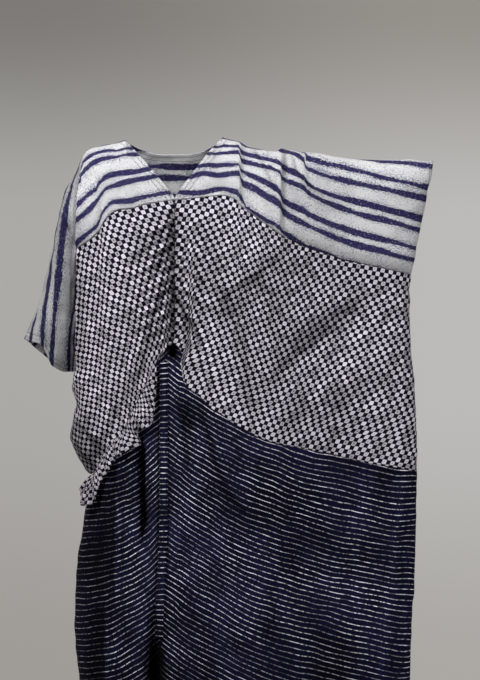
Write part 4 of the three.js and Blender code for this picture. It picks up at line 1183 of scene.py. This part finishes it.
def checked_cotton():
    cotton = Finish("checked_cotton")
    # the third value of cut is the painted shade of the folds, called light here
    x, y, light = cotton.parts("cut")
    sideways = cotton.spread(cotton.noise(x, y, 0.07, 0.07), 3.4)
    upwards = cotton.spread(cotton.noise(x, y, 0.07, 0.07, 2.0, 7.0), 3.4)
    across = cotton.math("DIVIDE", cotton.math("ADD", x, sideways), CHECK_SIDE)
    up = cotton.math("DIVIDE", cotton.math("ADD", y, upwards), CHECK_SIDE)
    column, row = cotton.math("FLOOR", across), cotton.math("FLOOR", up)
    odd = cotton.math("MODULO", cotton.math("ABSOLUTE", cotton.math("ADD", column, row)), 2.0)
    dx = cotton.math("SUBTRACT", cotton.math("FRACT", across), 0.5)
    dy = cotton.math("SUBTRACT", cotton.math("FRACT", up), 0.5)
    wide = cotton.math("POWER", cotton.math("ABSOLUTE", dx), CHECK_SQUARENESS)
    high = cotton.math("POWER", cotton.math("ABSOLUTE", dy), CHECK_SQUARENESS)
    round_off = cotton.math("POWER", cotton.math("ADD", wide, high), 1 / CHECK_SQUARENESS)
    worn = cotton.spread(cotton.noise(x, y, 0.6, 0.6, 2.0, 3.0), 0.12)
    square = cotton.fade(cotton.math("ADD", round_off, worn), 0.59, 0.49)
    luck = cotton.chance(column, row)
    squares = cotton.math("ADD", cotton.math("MULTIPLY", dx, dx), cotton.math("MULTIPLY", dy, dy))
    middle = cotton.math("SQRT", squares)
    dot = cotton.fade(cotton.math("ADD", middle, cotton.spread(luck, 0.20)), 0.07, 0.16, 0.42, 1.0)
    white = cotton.shade(PRINT_WHITE, cotton.math("MULTIPLY_ADD", luck, 0.55, 0.66))
    white = cotton.shade(white, dot)
    factor = cotton.math("MULTIPLY", square, cotton.math("SUBTRACT", 1.0, odd))
    colour = cotton.blend(PRINT_BLACK, white, factor)
    colour = cotton.shade(seam_shadow_and_stitches(cotton, colour, ()), light)
    return cotton.finish(colour, weave(cotton, x, y), 0.88, 0.01)


cottons["checked_cotton"] = checked_cotton()
for piece, node, flat, area, held in (
    (front_hanging, "checked_front_hanging_side", (0.30, 0.50), 0.12, "gathered"),
    (front_raised, "checked_front_raised_side", (0.52, 0.52), 0.22, "gathered"),
    (checked_back, "checked_back", (0.74, 0.50), 0.33, "draped"),
):
    fitted(piece, node, "checked_cotton")


# Three panels of indigo cotton with fine broken white lines about 10 mm
# apart. The front lines sink towards the raised side on one panel and towards
# the hanging side on the other, and meet under the centre strip.

LINE_SLOPE_RAISED = [
    (-9, 33), (39, 31), (97, 28), (146, 23), (176, 20.5), (234, 18), (273, 15), (361, 14),
    (414, 13), (430, 1), (470, 0),
]
LINE_SLOPE_HANGING = [
    (-210, 6), (-156, 11), (-132, 18), (-107, 26), (-78, 31), (-55, 41), (-9, 44),
]
SKIRT_WALL = 1.0
# Deep folds of the skirt's front alone, which front_rise adds at detail 3
SKIRT_FRONT_CREASES = [
    ([(-14, -402), (-12, -412), (-8, -426)], 9, -22, 0),
    ([(-74, -575), (-70, -640), (-67, -720), (-68, -775)], 5.5, -16, 0),
    ([(-45, -975), (-45, -1060), (-45, -1200), (-46, HEM_Z)], 11, -34, 0),
    ([(-122, -640), (-123, -760), (-124, -905)], 16, -12, 1),
    ([(-142, -890), (-143, -1060), (-144, HEM_Z)], 18, -12, 1),
    ([(33, -498), (62, -592), (88, -683), (146, -741)], 5, -4.4, 0),
    ([(0, -498), (12, -566), (20, -663)], 5, -3.6, 0),
]

skirt_hanging = mesh_piece("skirt_front_hanging_cloth", [panel(
    FRONT, REFERENCE_LEFT, CENTRE_X, FRONT_WAIST_SEAM, None, step=3.4,
    slopes=LINE_SLOPE_HANGING, sign=-1, steady=27, settle=unchanged,
)], SKIRT_WALL)
skirt_raised = mesh_piece("skirt_front_raised_cloth", [panel(
    FRONT, CENTRE_X, REFERENCE_RIGHT, FRONT_WAIST_SEAM, None, step=3.6,
    slopes=LINE_SLOPE_RAISED, sign=1, steady=18, settle=unchanged,
)], SKIRT_WALL)
skirt_back = mesh_piece("skirt_back_cloth", [panel(
    BACK, REFERENCE_LEFT, REFERENCE_RIGHT, BACK_WAIST_SEAM, None, step=4.4,
    slopes=LEVEL_ROWS, sign=1, steady=0, settle=unchanged,
)], SKIRT_WALL)

# Dyed cloth with a thin white yarn that shows in short dashes
NAVY = (0.0044, 0.0036, 0.0165)
YARN_WHITE = (0.90, 0.90, 1.00)
LINE_PITCH = 10.0
SKIRT_HEM_STITCHES = (7.0,)


def navy_cotton():
    cotton = Finish("navy_cotton")
    # the third value of cut is the painted shade of the folds, called light here
    x, y, light = cotton.parts("cut")
    sway = cotton.spread(cotton.noise(x, y, 0.006, 0.006), 22.0)
    drift = cotton.math("ADD", cotton.spread(cotton.noise(x, y, 0.02, 0.05), 3.0), sway)
    place = cotton.math("DIVIDE", cotton.math("ADD", y, drift), LINE_PITCH)
    row = cotton.math("FLOOR", place)
    off = cotton.math("ABSOLUTE", cotton.math("SUBTRACT", cotton.math("FRACT", place), 0.5))
    broken = cotton.noise(cotton.math("ADD", x, cotton.math("MULTIPLY", row, 37.0)), row, 0.14, 5.3, 2.0)
    shown = cotton.fade(broken, 0.38, 0.60, 0.12, 1.0)
    strong = cotton.math("MULTIPLY_ADD", cotton.chance(row, 0.0), 0.55, 0.45)
    rubbed = cotton.fade(cotton.noise(x, y, 0.012, 0.012, 2.0, 3.0), 0.35, 0.6, 0.45, 1.3)
    strong = cotton.math("MULTIPLY", strong, rubbed)
    line = cotton.math("MULTIPLY", cotton.fade(off, 0.095, 0.04), cotton.math("MULTIPLY", shown, strong))
    streak = cotton.noise(x, y, 0.35, 0.02, 2.0, 5.0)
    ground = cotton.shade(NAVY, cotton.fade(streak, 0.3, 0.7, 0.65, 1.35))
    # large random patches, darker and lighter: painted light and shade that stand in for soft folds
    painted_fold_light = cotton.noise(x, y, 0.008, 0.006, 2.0, 6.0)
    ground = cotton.shade(ground, cotton.fade(painted_fold_light, 0.35, 0.65, 0.6, 1.8))
    colour = cotton.blend(ground, YARN_WHITE, line)
    colour = cotton.shade(seam_shadow_and_stitches(cotton, colour, SKIRT_HEM_STITCHES), light)
    return cotton.finish(colour, weave(cotton, x, y), 0.9, 0.0)


cottons["navy_cotton"] = navy_cotton()
for piece, node, flat, area in (
    (skirt_hanging, "skirt_front_hanging_side", (0.30, 0.98), 0.22),
    (skirt_raised, "skirt_front_raised_side", (0.56, 0.98), 0.45),
    (skirt_back, "skirt_back", (0.80, 0.74), 0.56),
):
    fitted(piece, node, "navy_cotton")


# A narrow strip of the navy cotton, 16 mm wide when folded, stitched along
# both edges over the centre seam of the skirt from the waist downwards.

BAND_WIDTH = 16.0
BAND_TOP_Z = -432.0
BAND_END_Z = -961.0
BAND_STANDS = 3.6
BAND_WALL = 0.9
BAND_COLUMNS = 9
BAND_ROWS = 200


def outward_at(share, z, step):
    here = body_points(FRONT, share, z, 1)
    across = body_points(FRONT, share + 0.004, z, 1) - body_points(FRONT, share - 0.004, z, 1)
    down = body_points(FRONT, share, z - step, 1) - body_points(FRONT, share, z + step, 1)
    out = np.cross(down, across)
    return here, out / np.linalg.norm(out, axis=-1, keepdims=True)


def strip_piece():
    offsets = np.linspace(-BAND_WIDTH / 2, BAND_WIDTH / 2, BAND_COLUMNS)
    z = np.linspace(BAND_TOP_Z, BAND_END_Z, BAND_ROWS)
    shares = share_of(CENTRE_X + offsets)[:, None]
    here, out = outward_at(shares, np.broadcast_to(z, (BAND_COLUMNS, BAND_ROWS)), 12)
    edge = BAND_WIDTH / 2 - np.abs(offsets)[:, None] + 0 * z
    pulled_in = 0.8 * np.exp(-((edge / 1.5) ** 2))
    height = BAND_STANDS - pulled_in + 0.3 * np.sin(z / 9.0) * ease(edge / 6)
    grid = here + out * height[..., None]
    run = np.broadcast_to(-z, edge.shape)
    cut = np.stack([offsets[:, None] + 0 * z, z + 0 * edge], -1)
    sewn = np.stack([np.full_like(edge, NO_EDGE), run, edge + 4.5], -1)
    return mesh_piece("centre_strip_cloth", [(grid, False, cut, sewn, 1.0)], BAND_WALL)


centre_strip = strip_piece()
fitted(centre_strip, "centre_strip", "navy_cotton")


# A short ruffle of the checked cotton with a raw-looking loose edge, gathered
# into the slanting waist seam and falling in small waves over the skirt.

# Place x on the seam, then x and level of the loose edge and how far it stands off
RUFFLE = [
    (-31, -27, -428, 6), (-38, -22, -455, 9), (-45, -23, -483, 7), (-53, -25, -505, 10),
    (-60, -27, -526, 6), (-66, -29, -545, 14), (-71, -36, -556, 17), (-78, -58, -562, 8),
    (-86, -70, -566, 5), (-91, -72, -580, 10), (-95, -74, -592, 16), (-100, -90, -606, 15),
    (-108, -104, -613, 7), (-121, -117, -618, 5), (-128, -121, -633, 14), (-133, -124, -643, 16),
    (-141, -137, -647, 7), (-148, -150, -657, 6), (-153, -151, -675, 13), (-157, -153, -691, 19),
    (-160, -163, -701, 12), (-163, -171, -712, 20), (-166, -184, -711, 24), (-168, -191, -697, 18),
    (-171, -195, -684, 26),
]
RUFFLE_STANDS = 1.55
RUFFLE_ARCH = 6.0
RUFFLE_CRIMP = 1.6
RUFFLE_DRAWN_IN = 1.2
RUFFLE_WALL = 0.8
RUFFLE_COLUMNS = 300
RUFFLE_ROWS = 15


def ruffle_piece():
    place = np.linspace(0, len(RUFFLE) - 1, RUFFLE_COLUMNS)
    numbered = np.array([(i, *row) for i, row in enumerate(RUFFLE)], float)
    seat_x, edge_x, edge_z, stand = (along(numbered[:, [0, c]], place) for c in (1, 2, 3, 4))
    seat_share = share_of(seat_x)
    seat_z = seam_levels(FRONT, seat_share, FRONT_WAIST_SEAM)
    seat, out = outward_at(seat_share, seat_z, 8)
    seat = seat + out * RUFFLE_STANDS
    under, under_out = outward_at(share_of(np.maximum(edge_x, REFERENCE_LEFT + 4)), edge_z, 8)
    edge = under + under_out * (3 + stand)[:, None]
    at = np.linspace(0, 1, RUFFLE_ROWS)[None, :]
    crimp = RUFFLE_CRIMP * (1 + np.sin(place * 3.8))[:, None] * (1 - at) * ease(at * 3)
    waves = place * 7.3 + 1.2 * np.sin(place * 1.7)
    frill = 2.2 * np.sin(waves)[:, None] * at**1.2
    lift = RUFFLE_ARCH * np.sin(np.pi * at) + crimp + frill
    way = mix(0.03, 1, at)[..., None]
    grid = seat[:, None] * (1 - way) + edge[:, None] * way + out[:, None] * lift[..., None]
    grid = grid[::-1]
    down = lengths(grid, 1)
    run = lengths(grid, 0)
    middle_run = run[:, RUFFLE_ROWS // 2][:, None]
    cut = RUFFLE_DRAWN_IN * np.stack([middle_run + 0 * down, -down], -1)
    sewn = np.stack([down + 0.6, run, down[:, -1:] - down + 5], -1)
    shade = 1 - 0.35 * (0.5 + 0.5 * np.sin(waves + 2.2))[:, None]
    return mesh_piece("hip_ruffle_cloth", [(grid, False, cut, sewn, shade)], RUFFLE_WALL)


ruffle = ruffle_piece()
fitted(ruffle, "hip_ruffle", "checked_cotton")


# A grey studio wall that glows, with painted light that is lighter low down
# and to one side, a pale floor, and soft light from large lamps: the key from
# the front on the hanging side, a weak fill from the other.


def plain_plane(name, corners, material):
    mesh = bpy.data.meshes.new(name)
    mesh.from_pydata(corners, [], [(0, 1, 2, 3)])
    made = bpy.data.objects.new(name, mesh)
    made.data.materials.append(material)
    bpy.context.scene.collection.objects.link(made)
    return made


def painted_light_wall():
    """Painted light of the glowing wall: at each of three heights, two greys from hanging to raised side.
    """
    paint = Finish("wall_glow_painted_light")
    place = paint.add("ShaderNodeTexCoord", output=3)
    split = paint.tree.nodes.new("ShaderNodeSeparateXYZ")
    paint.tree.links.new(place, split.inputs[0])
    across = paint.fade(split.outputs[0], -0.42, 0.66)
    low = paint.fade(split.outputs[2], 0.42, -0.12)
    bottom = paint.fade(split.outputs[2], -0.5, -1.2)
    top = paint.blend((0.205, 0.196, 0.184), (0.300, 0.285, 0.262), across)
    middle = paint.blend((0.410, 0.400, 0.384), (0.505, 0.494, 0.482), across)
    foot = paint.blend((0.345, 0.330, 0.312), (0.405, 0.392, 0.370), across)
    colour = paint.blend(paint.blend(top, middle, low), foot, bottom)
    glow = paint.tree.nodes.new("ShaderNodeEmission")
    paint.put(glow.inputs[0], colour)
    # the wall is not there for a camera behind it
    clear = paint.tree.nodes.new("ShaderNodeBsdfTransparent")
    behind = paint.add("ShaderNodeNewGeometry", output=6)
    seen = paint.tree.nodes.new("ShaderNodeMixShader")
    for socket, part in zip(seen.inputs, (behind, glow.outputs[0], clear.outputs[0])):
        paint.put(socket, part)
    out = paint.tree.nodes.new("ShaderNodeOutputMaterial")
    paint.put(out.inputs[0], seen.outputs[0])
    return paint.material


def floor_finish():
    paint = Finish("floor_paint")
    place = paint.add("ShaderNodeTexCoord", output=3)
    split = paint.tree.nodes.new("ShaderNodeSeparateXYZ")
    paint.tree.links.new(place, split.inputs[0])
    tone = paint.fade(paint.noise(split.outputs[0], split.outputs[1], 3.0, 3.0), 0.3, 0.7, 0.95, 1.05)
    return paint.finish(paint.shade((0.45, 0.44, 0.43), tone), tone, 0.7, 0.0)


def lamp(name, place, target, width, power, colour):
    light = bpy.data.lights.new(name, "AREA")
    light.shape = "RECTANGLE"
    light.size, light.size_y = width
    light.energy = power
    light.color = colour
    made = bpy.data.objects.new(name, light)
    made.location = place
    away = np.array(target) - np.array(place)
    made.rotation_euler = Vector(away).to_track_quat("-Z", "Y").to_euler()
    bpy.context.scene.collection.objects.link(made)


SIDE = 6.0
WALL_Y = 1.6
WALL_BOTTOM = -3.0
WALL_TOP = 4.0
FLOOR_Z = -1.40
plain_plane("wall", [
    (-SIDE, WALL_Y, WALL_BOTTOM), (SIDE, WALL_Y, WALL_BOTTOM),
    (SIDE, WALL_Y, WALL_TOP), (-SIDE, WALL_Y, WALL_TOP),
], painted_light_wall())
plain_plane("floor", [
    (-SIDE, -SIDE, FLOOR_Z), (SIDE, -SIDE, FLOOR_Z), (SIDE, WALL_Y, FLOOR_Z), (-SIDE, WALL_Y, FLOOR_Z),
], floor_finish())
lamp(
    "key", place=(-1.5, -2.3, 2.0), target=(0.05, 0, -0.45), width=(0.8, 0.9), power=112,
    colour=(1.0, 0.99, 0.98),
)
lamp(
    "fill", place=(2.8, -2.6, 0.4), target=(0.1, 0, -0.5), width=(1.6, 1.8), power=36,
    colour=(0.99, 0.99, 1.0),
)
lamp(
    "top", place=(0.3, -0.6, 2.4), target=(0.1, 0, -0.4), width=(2.2, 1.6), power=22,
    colour=(1.0, 1.0, 1.0),
)

world = bpy.data.worlds.new("studio")
world.use_nodes = True
background = world.node_tree.nodes["Background"]
background.inputs["Color"].default_value = (0.60, 0.61, 0.64, 1)
background.inputs["Strength"].default_value = 0.17
bpy.context.scene.world = world
bpy.context.scene.view_settings.view_transform = "Standard"

CAMERA_AWAY = 7.0
PICTURE_HEIGHT = 1.326
SENSOR_HEIGHT = 24
camera_data = bpy.data.cameras.new("camera")
camera_data.sensor_fit = "VERTICAL"
camera_data.sensor_height = SENSOR_HEIGHT
camera_data.lens = SENSOR_HEIGHT * CAMERA_AWAY / PICTURE_HEIGHT
camera = bpy.data.objects.new("camera", camera_data)
camera.location = (0.117, -CAMERA_AWAY, -0.390)
camera.rotation_euler = (math.pi / 2, 0, 0)
bpy.context.scene.collection.objects.link(camera)
bpy.context.scene.camera = camera
